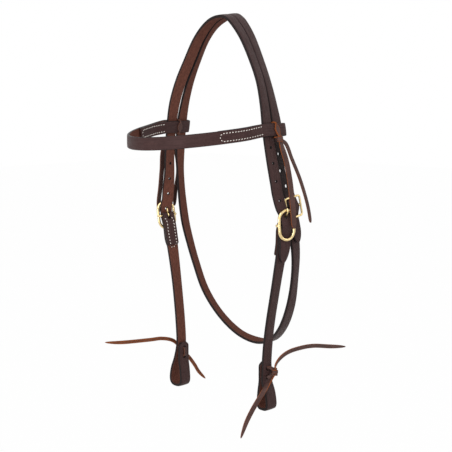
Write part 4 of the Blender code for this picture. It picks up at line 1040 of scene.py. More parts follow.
def capped(points, radius, steps=4):
    """Line and radii of a bar with half-round ends: the end points are repeated on a quarter circle."""
    points = np.asarray(points, float)
    radius = np.broadcast_to(radius, (len(points),)).astype(float)
    angle = np.linspace(0, pi / 2, steps + 1)[:-1]
    head, tail = unit(points[0] - points[1]), unit(points[-1] - points[-2])
    start = points[0] + head * (radius[0] * np.cos(angle))[:, None]
    end = points[-1] + tail * (radius[-1] * np.cos(angle))[::-1][:, None]
    grow = np.maximum(np.sin(angle), 0.08)
    return (np.vstack([start, points, end]),
            np.concatenate([radius[0] * grow, radius, radius[-1] * grow[::-1]]))


def join(parts):
    """Several shells as one list of points and one list of faces."""
    places, faces, start = [], [], 0
    for place, quads in parts:
        places.append(place)
        faces += [[v + start for v in quad] for quad in quads]
        start += len(place)
    return np.vstack(places), faces


# ---------------------------------------------------------------- material nodes

class Board:
    """Adds nodes to one tree and wires them."""

    def __init__(self, tree):
        self.tree = tree

    def add(self, kind, inputs=(), out=0, **settings):
        """Node of a kind with its settings; inputs are values or sockets. Gives one output."""
        made = self.tree.nodes.new(kind)
        for key, value in settings.items():
            setattr(made, key, value)
        for key, value in dict(inputs).items():
            self.feed(made.inputs[key], value)
        return made.outputs[out] if made.outputs else made

    def feed(self, socket, value):
        """Sets a socket to a value or links another socket to it."""
        if isinstance(value, bpy.types.NodeSocket):
            self.tree.links.new(value, socket)
        elif hasattr(socket.default_value, "__len__") and hasattr(value, "__len__"):
            socket.default_value = (*value, 1)[:len(socket.default_value)]
        else:
            socket.default_value = value

    def math(self, operation, a, b):
        """One sum of two values."""
        return self.add("ShaderNodeMath", {0: a, 1: b}, operation=operation)

    def weighed(self, a, b, share):
        """A share of one value and the rest of another, summed."""
        return self.math("ADD", self.math("MULTIPLY", a, share), self.math("MULTIPLY", b, 1 - share))

    def step(self, value, low, high, to_low=0.0, to_high=1.0):
        """Smooth step of a value between two limits."""
        return self.add("ShaderNodeMapRange", {0: value, 1: low, 2: high, 3: to_low, 4: to_high},
                        interpolation_type="SMOOTHSTEP")

    def mix(self, share, a, b):
        """Blend of two colours."""
        return self.add("ShaderNodeMix", {0: share, 6: a, 7: b}, out=2, data_type="RGBA")

    def blend(self, share, a, b):
        """Blend of two values."""
        return self.add("ShaderNodeMix", {0: share, 2: a, 3: b}, out=0, data_type="FLOAT")

    def noise(self, vector, scale, detail=2.0, rough=0.5):
        """Noise at a scale in cells to the metre."""
        return self.add("ShaderNodeTexNoise", {"Vector": vector, "Scale": scale, "Detail": detail,
                                               "Roughness": rough})

    def stretch(self, vector, scale):
        """Vector times three numbers."""
        return self.add("ShaderNodeVectorMath", {0: vector, 1: scale}, operation="MULTIPLY")


def effect_group(name, inputs, outputs, fill):
    """Node group with named inputs and outputs, built once; fill wires it and returns its outputs."""
    tree = bpy.data.node_groups.get(name)
    if tree:
        return tree
    tree = bpy.data.node_groups.new(name, "ShaderNodeTree")
    for label, kind, default in inputs:
        socket = tree.interface.new_socket(name=label, in_out="INPUT", socket_type=kind)
        if default is not None:
            socket.default_value = default
    for label, kind in outputs:
        tree.interface.new_socket(name=label, in_out="OUTPUT", socket_type=kind)
    board = Board(tree)
    source = tree.nodes.new("NodeGroupInput")
    result = fill(board, {s.name: s for s in source.outputs})
    end = tree.nodes.new("NodeGroupOutput")
    for (label, _), socket in zip(outputs, result):
        tree.links.new(socket, end.inputs[label])
    return tree


def grain_group():
    """Grain side of leather: pebbles with fine creases between them, and a slow cloud of colour."""
    def fill(board, given):
        vector = given["Vector"]
        cells = board.add("ShaderNodeTexVoronoi", {"Vector": vector, "Scale": given["Cells"]},
                          feature="F1")
        pebble = board.step(cells, 0.15, 0.75, 1.0, 0.0)
        fine = board.noise(vector, 2600.0, 3.0, 0.6)
        broad, close = board.noise(vector, 55.0, 4.0, 0.6), board.noise(vector, 420.0, 3.0, 0.6)
        cloud = board.weighed(broad, close, 0.6)
        return board.weighed(pebble, fine, 0.7), board.step(cloud, 0.35, 0.65)
    return effect_group("Leather grain", [("Vector", "NodeSocketVector", None),
                                          ("Cells", "NodeSocketFloat", 1500.0)],
                        [("Height", "NodeSocketFloat"), ("Cloud", "NodeSocketFloat")], fill)


def nap_group():
    """Flesh side of leather: fibres drawn out along the strap."""
    def fill(board, given):
        fibres = board.noise(board.stretch(given["Vector"], (420.0, 2300.0, 300.0)), 1.0, 4.0, 0.65)
        tufts = board.noise(board.stretch(given["Vector"], (160.0, 500.0, 100.0)), 1.0, 3.0, 0.6)
        height = board.weighed(fibres, tufts, 0.65)
        return height, board.step(height, 0.36, 0.64)
    return effect_group("Leather nap", [("Vector", "NodeSocketVector", None)],
                        [("Height", "NodeSocketFloat"), ("Fibre", "NodeSocketFloat")], fill)


def edge_group():
    """Edge mask with an uneven border, from the edge attribute."""
    def fill(board, given):
        ragged = board.noise(given["Vector"], 900.0, 3.0, 0.6)
        swing = board.math("MULTIPLY", board.math("SUBTRACT", ragged, 0.5), given["Ragged"])
        return (board.step(board.math("ADD", given["Edge"], swing), given["From"], given["To"]),)
    return effect_group("Edge border", [("Vector", "NodeSocketVector", None),
                                        ("Edge", "NodeSocketFloat", 0.0),
                                        ("From", "NodeSocketFloat", 0.4), ("To", "NodeSocketFloat", 0.7),
                                        ("Ragged", "NodeSocketFloat", 0.2)],
                        [("Mask", "NodeSocketFloat")], fill)


def use_group(board, tree, inputs, names):
    """The named outputs of a group that is placed in a material."""
    made = board.tree.nodes.new("ShaderNodeGroup")
    made.node_tree = tree
    for key, value in inputs.items():
        board.feed(made.inputs[key], value)
    return [made.outputs[name] for name in names]


def use_bump(board, shader, height, strength, distance):
    """Relief of a height on a shader's surface."""
    bump = board.add("ShaderNodeBump", {"Strength": strength, "Distance": distance, "Height": height})
    board.feed(shader.inputs["Normal"], bump)


def leather_maps(board, cells, edge_from, edge_to, ragged):
    """What both leathers share: place on the strap, height and cloud of the grain, mask of the edges."""
    strap = board.add("ShaderNodeAttribute", attribute_name="strap", out=1)
    edge = board.add("ShaderNodeAttribute", attribute_name="edge", out=2)
    height, cloud = use_group(board, grain_group(), {"Vector": strap, "Cells": cells},
                              ["Height", "Cloud"])
    mask, = use_group(board, edge_group(), {"Vector": strap, "Edge": edge, "From": edge_from,
                                            "To": edge_to, "Ragged": ragged}, ["Mask"])
    return strap, height, cloud, mask


def seen_directly(board):
    """1 where the camera, a reflection or glass sees something, 0 where it only sends light."""
    path = board.tree.nodes.new("ShaderNodeLightPath").outputs
    mirrored = board.math("MAXIMUM", path["Is Glossy Ray"], path["Is Transmission Ray"])
    return board.math("MAXIMUM", path["Is Camera Ray"], mirrored)


def new_material(name):
    """Empty material with a Principled shader and a board for its other nodes."""
    made = bpy.data.materials.get(name)
    if made:
        return made, None, None
    made = bpy.data.materials.new(name)
    made.use_nodes = True
    shader = made.node_tree.nodes["Principled BSDF"]
    return made, Board(made.node_tree), shader


def leather_material(colours):
    """Oiled harness leather: grain side, flesh side and burnished edges told apart by the section."""
    made, board, shader = new_material("Harness leather")
    if board is None:
        return made
    strap, height, cloud, mask = leather_maps(board, 1250.0, 0.60, 0.92, 0.18)
    nap, fibre = use_group(board, nap_group(), {"Vector": strap}, ["Height", "Fibre"])
    flesh_side = board.step(board.add("ShaderNodeSeparateXYZ", {0: strap}, out=2), -0.35, -0.75)
    grain, flesh = np.array(colours.grain), np.array(colours.flesh)
    grain_colour = board.mix(cloud, grain * 0.78, grain * 1.2)
    flesh_colour = board.mix(fibre, flesh * 0.62, flesh * 1.32)
    face_colour = board.mix(flesh_side, grain_colour, flesh_colour)
    # the edge mask also carries the painted shade on the throat billet
    board.feed(shader.inputs["Base Color"], board.mix(mask, face_colour, colours.edge))
    face_rough = board.blend(flesh_side, board.step(cloud, 0.0, 1.0, 0.50, 0.40), 0.86)
    board.feed(shader.inputs["Roughness"], board.blend(mask, face_rough, 0.38))
    use_bump(board, shader, board.blend(flesh_side, height, nap), 0.35, 0.00025)
    shader.inputs["Specular IOR Level"].default_value = 0.09
    return made


def string_material(colours):
    """Latigo string: dyed faces and pale cut edges."""
    made, board, shader = new_material("Latigo string")
    if board is None:
        return made
    _, height, cloud, mask = leather_maps(board, 1900.0, 0.34, 0.62, 0.30)
    base, cut_edge = np.array(colours.string), np.array(colours.string_cut)
    face_colour = board.mix(cloud, base * 0.75, base * 1.25)
    edge_colour = board.mix(cloud, cut_edge * 0.6, cut_edge)
    board.feed(shader.inputs["Base Color"], board.mix(mask, face_colour, edge_colour))
    board.feed(shader.inputs["Roughness"], board.blend(mask, 0.52, 0.75))
    shader.inputs["Specular IOR Level"].default_value = 0.22
    use_bump(board, shader, height, 0.35, 0.0002)
    return made


def brass_material(colours):
    """Cast brass, polished, a little uneven and duller in patches."""
    made, board, shader = new_material("Polished brass")
    if board is None:
        return made
    place = board.add("ShaderNodeTexCoord", out=3)
    cloud = board.step(board.noise(place, 260.0, 4.0, 0.6), 0.35, 0.7)
    fine = board.noise(place, 2200.0, 3.0, 0.6)
    base = np.array(colours.brass)
    board.feed(shader.inputs["Base Color"], board.mix(cloud, base * np.array([1.04, 1.04, 1.1]),
                                                      base * np.array([0.90, 0.86, 0.75])))
    board.feed(shader.inputs["Roughness"], board.step(board.weighed(cloud, fine, 0.6),
                                                      0.1, 0.9, 0.16, 0.30))
    use_bump(board, shader, board.noise(place, 480.0, 3.0, 0.5), 0.12, 0.0002)
    shader.inputs["Metallic"].default_value = 1.0
    return made


def thread_material(colours):
    """Waxed thread with the ridges of its twist."""
    made, board, shader = new_material("Waxed thread")
    if board is None:
        return made
    place = board.add("ShaderNodeTexCoord", out=3)
    base = np.array(colours.thread)
    shade = board.step(board.noise(place, 900.0, 3.0, 0.6), 0.35, 0.7)
    board.feed(shader.inputs["Base Color"], board.mix(shade, base, base * 0.72))
    twist = board.add("ShaderNodeTexWave", {"Vector": place, "Scale": 900.0, "Distortion": 1.5},
                      wave_type="BANDS", bands_direction="DIAGONAL", out=1)
    use_bump(board, shader, twist, 0.4, 0.0001)
    shader.inputs["Roughness"].default_value = 0.6
    return made


def floor_material(colours):
    """Plain floor: pale, and white to the camera apart from the shadow."""
    made, board, shader = new_material("Pale floor")
    if board is None:
        return made
    board.feed(shader.inputs["Base Color"], colours.floor)
    shader.inputs["Roughness"].default_value = 0.9
    glow = board.add("ShaderNodeEmission", {"Color": (1.0, 1.0, 1.0), "Strength": 1.0})
    share = board.math("MULTIPLY", seen_directly(board), FLOOR_WHITE)
    mixed = board.add("ShaderNodeMixShader", {0: share, 1: shader.outputs[0], 2: glow})
    board.feed(board.tree.nodes["Material Output"].inputs["Surface"], mixed)
    return made


# ---------------------------------------------------------------- pieces

def settle(piece, body, look, nodes=()):
    """Gives a piece its material, its body and the nodes that it stands for."""
    piece.data.materials.append(look)
    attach(piece, body)
    if nodes:
        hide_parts(*nodes)
    return piece


def crown_strap(size, colours):
    """Crown strap with its two billets."""
    route = crown_route(size)
    holes = []
    for side, share, onward in (("far", (0.0, 0.4), 1), ("near", (0.6, 1.0), -1)):
        buckle = oval_buckle(size, side)
        middle = nearest(route, buckle.seat.origin, *share)
        holes += billet_holes(size, buckle, middle, onward, HOLE_PLACES[side],
                              size.hole_width * TIGHT_HOLE_SHARE)
    shell = leather_shell(route, size.strap_width, size.strap_thick, size.edge_round, holes=holes,
                          points=(TIP_LENGTH, TIP_LENGTH))
    piece = leather_piece("crown_strap_leather", shell)
    return settle(piece, "headpiece", leather_material(colours), ["crown_strap"])


def chape_seams(fold, length):
    """The two sewn stretches of a chape, before and after its fold."""
    reach = length - SEWN_SHORT + fold_radius()
    return [Seam(fold - reach, fold - SEWN_FROM_FOLD), Seam(fold + SEWN_FROM_FOLD, fold + reach)]


def throat_strap(size, colours):
    """Throat strap with its billet, and its chape on the near side."""
    route = throat_route(size)
    buckle = square_buckle(size)
    middle = nearest(route, buckle.seat.origin, 0.0, 0.3)
    holes = billet_holes(size, buckle, middle, 1, HOLE_PLACES["throat"],
                         size.hole_width * WIDE_HOLE_SHARE)
    # painted shade: the billet between the crown strap and the string is darkened with the edge colour,
    # as it lies in deep shade there
    painted_shade = Seam(holes[0].along + PAINTED_SHADE_FROM, holes[-1].along + size.hole_pitch)
    slot = tongue_slot(buckle, route, 0.8, 1.0)
    shell = leather_shell(route, size.strap_width, size.strap_thick, size.edge_round,
                          holes=holes + [slot], points=(TIP_LENGTH, 0),
                          seams=chape_seams(slot.along, THROAT_CHAPE), painted_shade=[painted_shade])
    piece = leather_piece("throat_strap_leather", shell)
    return settle(piece, "headpiece", leather_material(colours), ["throat_strap"])


def browband(size, colours):
    """Browband with its turned-back ends."""
    route = browband_route(size)
    seams = brow_seams(size, route)
    shell = leather_shell(route, size.strap_width, size.brow_thick, size.edge_round, seams=seams)
    piece = leather_piece("browband_leather", shell)
    return settle(piece, "headpiece", leather_material(colours), ["browband"])


def brow_seams(size, route):
    """The sewn stretches of the browband: lining and outside, near and far."""
    total = route.along[-1]
    lap = nearest(route, brow_curve(size, BROW_LAP_DEG["near"]), 0.1, 0.5)
    far_lap = total - nearest(route, brow_curve(size, 180 - BROW_LAP_DEG["far"]), 0.5, 0.9)
    front_edge = at(brow_seat(size, 1), 0, size.strap_thick / 2, -size.strap_width / 2)
    straps = nearest(route, front_edge, 0.08, 0.5)
    near, far = straps + BROW_SEWN_FROM["near"], straps + BROW_SEWN_FROM["far"]
    return [Seam(SEWN_MARGIN, lap - near), Seam(near, lap - SEWN_MARGIN),
            Seam(total - far_lap + SEWN_MARGIN, total - far),
            Seam(total - far_lap + far, total - SEWN_MARGIN)]


def cheek_strap(size, colours, side):
    """Cheek strap with its chape and its bit loop."""
    route = cheek_strap_route(size, side)
    buckle = oval_buckle(size, side)
    slot = tongue_slot(buckle, route, 0.0, 0.3)
    seat = loop_seat(size, side)
    holes = [slot]
    for k in range(2):
        level = TIE_HOLE_FIRST + k * TIE_HOLE_PITCH
        for out, share in ((0.0, (0.3, 0.75)), (-size.strap_thick - LAYER_GAP, (0.85, 1.0))):
            holes.append(Hole(nearest(route, at(seat, level, out), *share), TIE_HOLE_WIDTH / 2,
                              TIE_HOLE_WIDTH / 2))
    shell = leather_shell(route, size.strap_width, size.strap_thick, size.edge_round, holes=holes,
                          points=(0, TAB_ROUND), blunt=TAB_BLUNT_SHARE,
                          seams=chape_seams(slot.along, CHEEK_CHAPE))
    piece = leather_piece(side + "_cheek_leather", shell)
    return settle(piece, side + "_cheek", leather_material(colours),
                  [side + "_cheek_strap"])


def rim_line(buckle, count=96):
    """Middle line of the rim: a rectangle whose corners are rounded by the corner radius."""
    half, radius = rim_half(buckle), min(buckle.corner, buckle.half_width)
    angle = np.linspace(0, 2 * pi, count, endpoint=False) + pi / count
    quarter = np.floor(angle / (pi / 2)) % 4
    down = np.where((quarter == 0) | (quarter == 3), 1, -1) * (half - radius) + radius * np.cos(angle)
    back = np.where(quarter < 2, 1, -1) * (buckle.half_width - radius) + radius * np.sin(angle)
    line = np.stack([down, back], axis=1)
    closed = np.vstack([line, line[:1]])
    run = run_length(closed)
    even = np.linspace(0, run[-1], count, endpoint=False)
    return np.stack([np.interp(even, run, closed[:, k]) for k in range(2)], axis=1)


def buckle_frame(colours, buckle, name, node):
    """Buckle frame: the rim, and a bar behind it that turns up to the rim at both ends."""
    seat, side = buckle.seat, buckle.half_width
    line = rim_line(buckle)
    rim = seat.origin + line[:, :1] * seat.down + line[:, 1:] * seat.back
    parts = [tube(rim, buckle.wire / 2, closed=True, sides=18, flat=(seat.out, 0.94))]
    angle = np.linspace(0, pi / 2, 7)
    out = np.concatenate([[0.0], -buckle.bar_depth + BAR_CORNER - BAR_CORNER * np.sin(angle)])
    back = np.concatenate([[-side], -side + BAR_CORNER - BAR_CORNER * np.cos(angle)])
    half_bar = np.stack([out, back], axis=1)
    other = half_bar[::-1] * np.array([1, -1])
    bar = np.vstack([half_bar, [[-buckle.bar_depth, 0.0]], other])
    points = seat.origin + bar[:, :1] * seat.out + bar[:, 1:] * seat.back
    near_end = np.exp(-(np.abs(np.abs(bar[:, 1]) - side) / HUB_REACH) ** 2)
    swell = (HUB_WIRE - BAR_WIRE) / 2 * near_end * np.clip(-bar[:, 0] / buckle.bar_depth, 0, 1)
    parts.append(tube(points, BAR_WIRE / 2 + swell, sides=14))
    place, faces = join(parts)
    piece = make_mesh(name, place, faces)
    return settle(piece, "headpiece", brass_material(colours), [node])


def buckle_tongue(size, colours, buckle, name, node, body):
    """Tongue: an eye round the bar and a pin that rises through the billet and lies on the rim."""
    seat, bar, thick = buckle.seat, -buckle.bar_depth, size.strap_thick
    radius = BAR_WIRE / 2 + SEAT_GAP + TONGUE_WIRE / 2
    half, crossing = rim_half(buckle), tongue_crossing(buckle)
    rest = buckle.wire / 2 + SEAT_GAP + TONGUE_WIRE / 2
    level = billet_level(size, buckle, crossing)
    path = [
        (radius, bar),
        (crossing - thick * 0.8, min(bar + TONGUE_WIRE, level - thick * 0.9)),
        (crossing - thick * 0.25, level - thick / 2),
        (crossing + thick * 0.25, level + thick / 2),
        (half - buckle.wire * 0.6, rest - SEAT_GAP),
        (half, rest + SEAT_GAP / 2),
        (half + buckle.wire * 0.6, rest - TONGUE_WIRE / 4),
    ]
    pin = spline([row(at(seat, -up, out), seat.back) for up, out in path])[::2, :3]
    run = run_length(pin) / run_length(pin)[-1]
    line, radii = capped(pin, TONGUE_WIRE / 2 * (1.0 - TONGUE_THINS * run ** 2))
    turn = np.linspace(0, 2 * pi, 36, endpoint=False)
    eye = (seat.origin + np.outer(radius * np.cos(turn), seat.down)
           + np.outer(bar + radius * np.sin(turn), seat.out))
    place, faces = join([tube(line, radii, sides=12, flat=(seat.back, 0.95)),
                         tube(eye, TONGUE_WIRE / 2, closed=True, sides=12, flat=(seat.back, 1.0))])
    piece = make_mesh(name, place, faces)
    return settle(piece, body, brass_material(colours), [node])


def string_shell(rows, width, grain=1, tip=0.0, pale=1.0, border=0.0, thick=STRING_THICK):
    """Strap surface of a string: flat, thin and square-edged. pale is how much of its cut edge's colour
    shows, and border how far that colour reaches on to the faces."""
    lines = np.linspace(0, width / 2, 8)[:-1]
    shell = leather_shell(route_of(rows, grain), width, thick, STRING_ROUND, lines, points=(0, tip),
                          blunt=0.04, border=border, dome=0.0, crease=0.0)
    return (*shell[:3], shell[3] * pale)


def knot_part(seat, down, out, back, width, height, tilt):
    """Hard knot: the string wound twice and a bit round itself, on a helix whose radius swells in the
    middle. place = centre + axis * climb + radius * (out cos, back sin)."""
    angle = np.linspace(0, 2 * pi * KNOT_TURNS, 40)
    climb = (angle / angle[-1] - 0.5) * height
    swell = KNOT_RING * (0.75 + 0.45 * np.cos(climb / height * pi))
    rows = []
    for a, c, r in zip(angle, climb, swell):
        radial = seat.out * cos(a) + seat.back * sin(a)
        place = at(seat, down + c, out, back) + radial * r + seat.back * (c * tilt)
        rows.append(row(place, seat.down + 0.35 * (seat.back * cos(a) - seat.out * sin(a))))
    wound = string_shell(rows, width)
    core = [row(at(seat, down + height * c, out, back + height * c * tilt), seat.out)
            for c in np.linspace(-0.5, 0.5, 9)]
    return [wound, string_shell(core, KNOT_RING * 1.7, thick=KNOT_RING * 1.5)]


def tail_part(size, start, table, side, width, tip, pale, border):
    """Free end of a string that leaves its knot, cut to a point."""
    rows = [row(start, [0, 1, 0], 0.6)]
    for share, across in table:
        rows.append(row(start + on_head(size, *share, side), [side * across[0], across[1], across[2]]))
    return string_shell(rows, width, 1, tip, pale, border)


def brow_string(size, colours, side):
    """Browband string: round the band between the two straps, knotted below, with two free ends."""
    sign = SIDES[side]
    strap = brow_seat(size, sign)
    seat = strap._replace(origin=at(strap, 0.0, 0.0, (size.strap_width + brow_gap()) / 2))
    bend = STRING_THICK + 2 * SEAT_GAP
    layer = size.strap_thick / 2 + WRAP_GAP + size.brow_thick + SEAT_GAP + STRING_THICK / 2
    over = size.strap_width / 2 + SEAT_GAP + STRING_THICK / 2
    pinch = STRING_THICK / size.string_width
    half, nearly = size.string_width / 2, (1 + pinch) / 2
    knot_down, knot_out, slack = over + KNOT_SIZE / 2, layer + KNOT_SIZE / 2, bend / 3
    inside = [(over, layer - bend), (over, 0.0), (over, bend - layer), (over - slack, slack - layer),
              (over - bend, -layer)]
    path = [(knot_down - KNOT_SIZE / 6, knot_out - KNOT_SIZE / 3, 0.0, pinch)]
    path += [(down, out, 0.0, pinch) for down, out in inside]
    path += [(half / 2, -layer, 0.0, 1.0), (-half / 2, -layer, 0.0, 1.0)]
    path += [(-down, out, 0.0, pinch) for down, out in inside[::-1]]
    path += [(slack - over, layer - slack, 0.0, pinch), (bend - over, layer, 0.0, pinch)]
    path += [(-half / 2, layer, half / 4, 1.0), (half / 2, layer, half / 2, 1.0)]
    path += [(over - bend, layer + slack, half / 2, nearly)]
    path += [(knot_down - KNOT_SIZE / 6, knot_out + KNOT_SIZE / 6, half / 4, pinch)]
    rows = [row(at(seat, down, out, back), seat.back, width) for down, out, back, width in path]
    parts = [string_shell(rows, size.string_width, sign, 0.0, WRAP_PALE[side], WRAP_BORDER)]
    parts += knot_part(seat, knot_down, knot_out, 0.0, size.string_width * 0.55, *BROW_KNOT)
    start = at(seat, knot_down, knot_out)
    for table, tail in zip(BROW_TAIL_SHARES[side], BROW_TAILS[side]):
        parts.append(tail_part(size, start, table, sign, size.string_width * tail[0], *tail[1:]))
    piece = leather_piece(side + "_brow_string", *parts)
    return settle(piece, "headpiece", string_material(colours),
                  [side + "_browband_tie"])


def bit_lace(size, colours, side):
    """Bit lace: through both layers of the loop, knotted outside, with two free ends."""
    sign = SIDES[side]
    seat = loop_seat(size, side)
    thick = size.strap_thick
    first, last = TIE_HOLE_FIRST, TIE_HOLE_FIRST + TIE_HOLE_PITCH
    middle, quarter = (first + last) / 2, TIE_HOLE_PITCH / 4
    face, lining = thick / 2, -1.5 * thick - LAYER_GAP
    inside = lining - SEAT_GAP - STRING_THICK / 2
    upper, mid, lower = [loop_opening(side, down) for down in (first, middle, last)]
    knot_out, knot_back = face + KNOT_RING + KNOT_WIRE / 2 + SEAT_GAP + mid, size.strap_width / 2
    back, down = seat.back, seat.down
    path = [
        (middle - quarter, knot_out, knot_back, down),
        (first - STRING_THICK / 3, face + STRING_THICK + upper, size.strap_width / 8, back * 0.4 + down),
        (first, upper, 0.0, back + down),
        (first, lining, 0.0, back),
        (first + STRING_THICK, inside, 0.0, back),
        (last - STRING_THICK, inside, 0.0, back),
        (last, lining, 0.0, back),
        (last, lower, 0.0, back - down),
        (last + STRING_THICK / 3, face + STRING_THICK + lower, size.strap_width / 8, back * 0.4 - down),
        (middle + quarter, knot_out, knot_back, -down),
    ]
    rows = [row(at(seat, *place[:3]), place[3]) for place in path]
    parts = [string_shell(rows, size.lace_width, sign, 0.0, LACE_PALE)]
    parts += knot_part(seat, middle, knot_out, knot_back, size.lace_width * 0.95, *LACE_KNOT)
    start = at(seat, middle, knot_out, knot_back)
    for table, tail in zip(BIT_TAIL_SHARES[side], BIT_TAILS[side]):
        parts.append(tail_part(size, start, table, sign, size.lace_width * tail[0], *tail[1:]))
    piece = leather_piece(side + "_bit_lace", *parts)
    return settle(piece, side + "_cheek", string_material(colours), [side + "_bit_tie"])


# ---------------------------------------------------------------- stitching

def sewn_u(start, end):
    """Line of stitching as (along, across): up one row, round the end as half a circle and back.
    start is the open end and end the closed one."""
    turn = STITCH_ROW * np.sign(end - start)
    angle = np.linspace(-pi / 2, pi / 2, 40)
    straight = np.linspace(start, end - turn, 200)
    curve = np.stack([end - turn + turn * np.cos(angle), STITCH_ROW * np.sin(angle)], axis=1)
    up, down = [np.stack([run, np.full(len(run), place)], axis=1)
                for run, place in ((straight, -STITCH_ROW), (straight[::-1], STITCH_ROW))]
    return np.vstack([up, curve, down])


def sewn_row(start, end, place):
    """One straight row of stitching from a small hook at its start."""
    angle = np.linspace(0, pi / 2, 12)
    turn = HOOK * np.sign(end - start)
    curl = np.stack([start + turn * (1 - np.sin(angle)), place - HOOK * (1 - np.cos(angle))], axis=1)
    straight = np.linspace(start + turn, end, 60)
    return np.vstack([curl[::-1], np.stack([straight, np.full(60, place)], axis=1)])


def stitches(size, route, thick, line, side=1):
    """Stitches along a line on a strap's face: one capsule to each pitch, laid a little aslant. side is
    1 on the grain face and -1 on the flesh face.
    point = centre + direction * u + side * v + normal * w over one capsule's points."""
    run = run_length(line)
    count = int(run[-1] / size.stitch_pitch)
    middle = (np.arange(count) + 0.5) * run[-1] / count
    s, x = np.interp(middle, run, line[:, 0]), np.interp(middle, run, line[:, 1])
    s2, x2 = [np.interp(middle + STITCH_AHEAD, run, line[:, k]) for k in range(2)]
    tangent, across, face = [read(route, key, s) for key in ("tangent", "across", "face")]
    face = face * side
    heading = unit(tangent * (s2 - s)[:, None] + across * (x2 - x)[:, None])
    sideways = np.cross(face, heading)
    heading = unit(heading + STITCH_SLANT * sideways)
    sideways = unit(np.cross(face, heading))
    lift = thick / 2 * read(route, "thick", s) - STITCH_DENT + size.thread_thick * THREAD_PROUD
    centre = read(route, "place", s) + across * x[:, None] + face * lift[:, None]
    sides, along = 6, np.array([-1.0, -0.86, -0.5, 0.0, 0.5, 0.86, 1.0])
    angle = np.linspace(0, 2 * pi, sides, endpoint=False)
    girth = np.sqrt(np.maximum(1 - along ** 4, 0.02)) * size.thread_thick / 2
    u = np.repeat(along, sides) * size.stitch_pitch * STITCH_HALF_SHARE
    v = (girth[:, None] * np.cos(angle)).ravel()
    w = (girth[:, None] * np.sin(angle)).ravel()
    w = w - (np.repeat(along, sides) ** 2) * size.thread_thick * THREAD_DIP
    place = (centre[:, None] + heading[:, None] * u[None, :, None] + sideways[:, None] * v[None, :, None]
             + face[:, None] * w[None, :, None]).reshape(-1, 3)
    grid = np.arange(len(along) * sides).reshape(len(along), sides)
    a, b = grid[:-1], grid[1:]
    quads = np.stack([a, np.roll(a, -1, axis=1), np.roll(b, -1, axis=1), b], axis=-1).reshape(-1, 4)
    faces = []
    for k in range(count):
        shift = k * len(along) * sides
        faces += (quads + shift).tolist()
        faces += [(grid[0, ::-1] + shift).tolist(), (grid[-1] + shift).tolist()]
    return place, faces


def brow_stitching(size, colours, side):
    """Both faces of one sewn end of the browband."""
    route = browband_route(size)
    near_lining, near_outside, far_outside, far_lining = brow_seams(size, route)
    if side == "near":
        lines = [sewn_u(near_lining.end, near_lining.start), sewn_u(*near_outside)]
    else:
        lines = [sewn_u(*far_lining), sewn_u(far_outside.end, far_outside.start)]
    place, faces = join([stitches(size, route, size.brow_thick, line) for line in lines])
    piece = make_mesh(side + "_brow_stitching", place, faces)
    return settle(piece, "headpiece", thread_material(colours))


def chape_stitching(size, colours, side):
    """Both faces of one sewn chape: a U on the outer layer, whose round end also shows inside, and two
    rows on the lining. The lining is the throat strap's end and a cheek strap's start."""
    if side == "throat":
        route, buckle, body = throat_route(size), square_buckle(size), "headpiece"
        before, after = chape_seams(tongue_slot(buckle, route, 0.8, 1.0).along, THROAT_CHAPE)
        outer, bottom = before.end, before.start - U_CLOSES
        lining, cut_end = after.start, route.along[-1] - LINING_CUT
    else:
        route, buckle, body = cheek_strap_route(size, side), oval_buckle(size, side), side + "_cheek"
        before, after = chape_seams(tongue_slot(buckle, route, 0.0, 0.3).along, CHEEK_CHAPE)
        outer, bottom = after.start, after.end + U_CLOSES
        lining, cut_end = before.end, LINING_CUT
    whole = sewn_u(outer, bottom)
    round_end = whole[np.abs(whole[:, 0] - bottom) <= STITCH_ROW + U_SHOWS]
    rows = [sewn_row(lining, cut_end, place) for place in (-STITCH_ROW, STITCH_ROW)]
    parts = [stitches(size, route, size.strap_thick, line) for line in [whole, *rows]]
    parts.append(stitches(size, route, size.strap_thick, round_end, -1))
    place, faces = join(parts)
    piece = make_mesh(side + "_chape_stitching", place, faces)
    return settle(piece, body, thread_material(colours))


# ---------------------------------------------------------------- stage

def area_light(name, azimuth, elevation, distance, size, power):
    """Soft white light of a width and height, aimed at the headstall."""
    lamp = bpy.data.lights.new(name, "AREA")
    lamp.shape = "RECTANGLE"
    lamp.size, lamp.size_y = size
    lamp.energy = power
    made = bpy.data.objects.new(name, lamp)
    bpy.context.scene.collection.objects.link(made)
    aim(made, round_object(azimuth, elevation, distance, LAMP_TARGET), LAMP_TARGET)


def aim(thing, place, target):
    """Puts an object at a place, looking at a target."""
    back = unit(np.array(place) - np.array(target))
    side = unit(np.cross([0, 0, 1], back))
    up = np.cross(back, side)
    thing.matrix_world = [(*side, 0), (*up, 0), (*back, 0), (*place, 1)]


def round_object(azimuth_deg, elevation_deg, distance, target):
    """Place at a distance from a target, seen at an azimuth from the front and an elevation."""
    a, e = radians(azimuth_deg), radians(elevation_deg)
    return np.array(target) + distance * np.array([sin(a) * cos(e), -cos(a) * cos(e), sin(e)])


def stage_floor(colours):
    """Floor below the hanging headstall: a grid of level points."""
    level = CAD_BOX[0][2] - FLOOR_BELOW
    side = np.linspace(-FLOOR_HALF, FLOOR_HALF, 2 * FLOOR_HALF + 1)
    x, y = np.meshgrid(side, side, indexing="ij")
    place = np.stack([x.ravel(), y.ravel(), np.full(x.size, level)], axis=1)
    grid = np.arange(x.size).reshape(x.shape)
    quads = np.stack([grid[:-1, :-1], grid[1:, :-1], grid[1:, 1:], grid[:-1, 1:]], axis=-1)
    floor = make_mesh("floor", place, quads.reshape(-1, 4).tolist())
    floor.data.materials.append(floor_material(colours))


def studio_world():
    """Plain light from all round; the camera and reflections see white."""
    world = bpy.data.worlds.new("Studio")
    world.use_nodes = True
    bpy.context.scene.world = world
    board = Board(world.node_tree)
    world.node_tree.nodes.clear()
    strength = board.math("MAXIMUM", seen_directly(board), WORLD_LIGHT)
    white = board.add("ShaderNodeBackground", {"Color": (1, 1, 1), "Strength": strength})
    board.add("ShaderNodeOutputWorld", {"Surface": white})


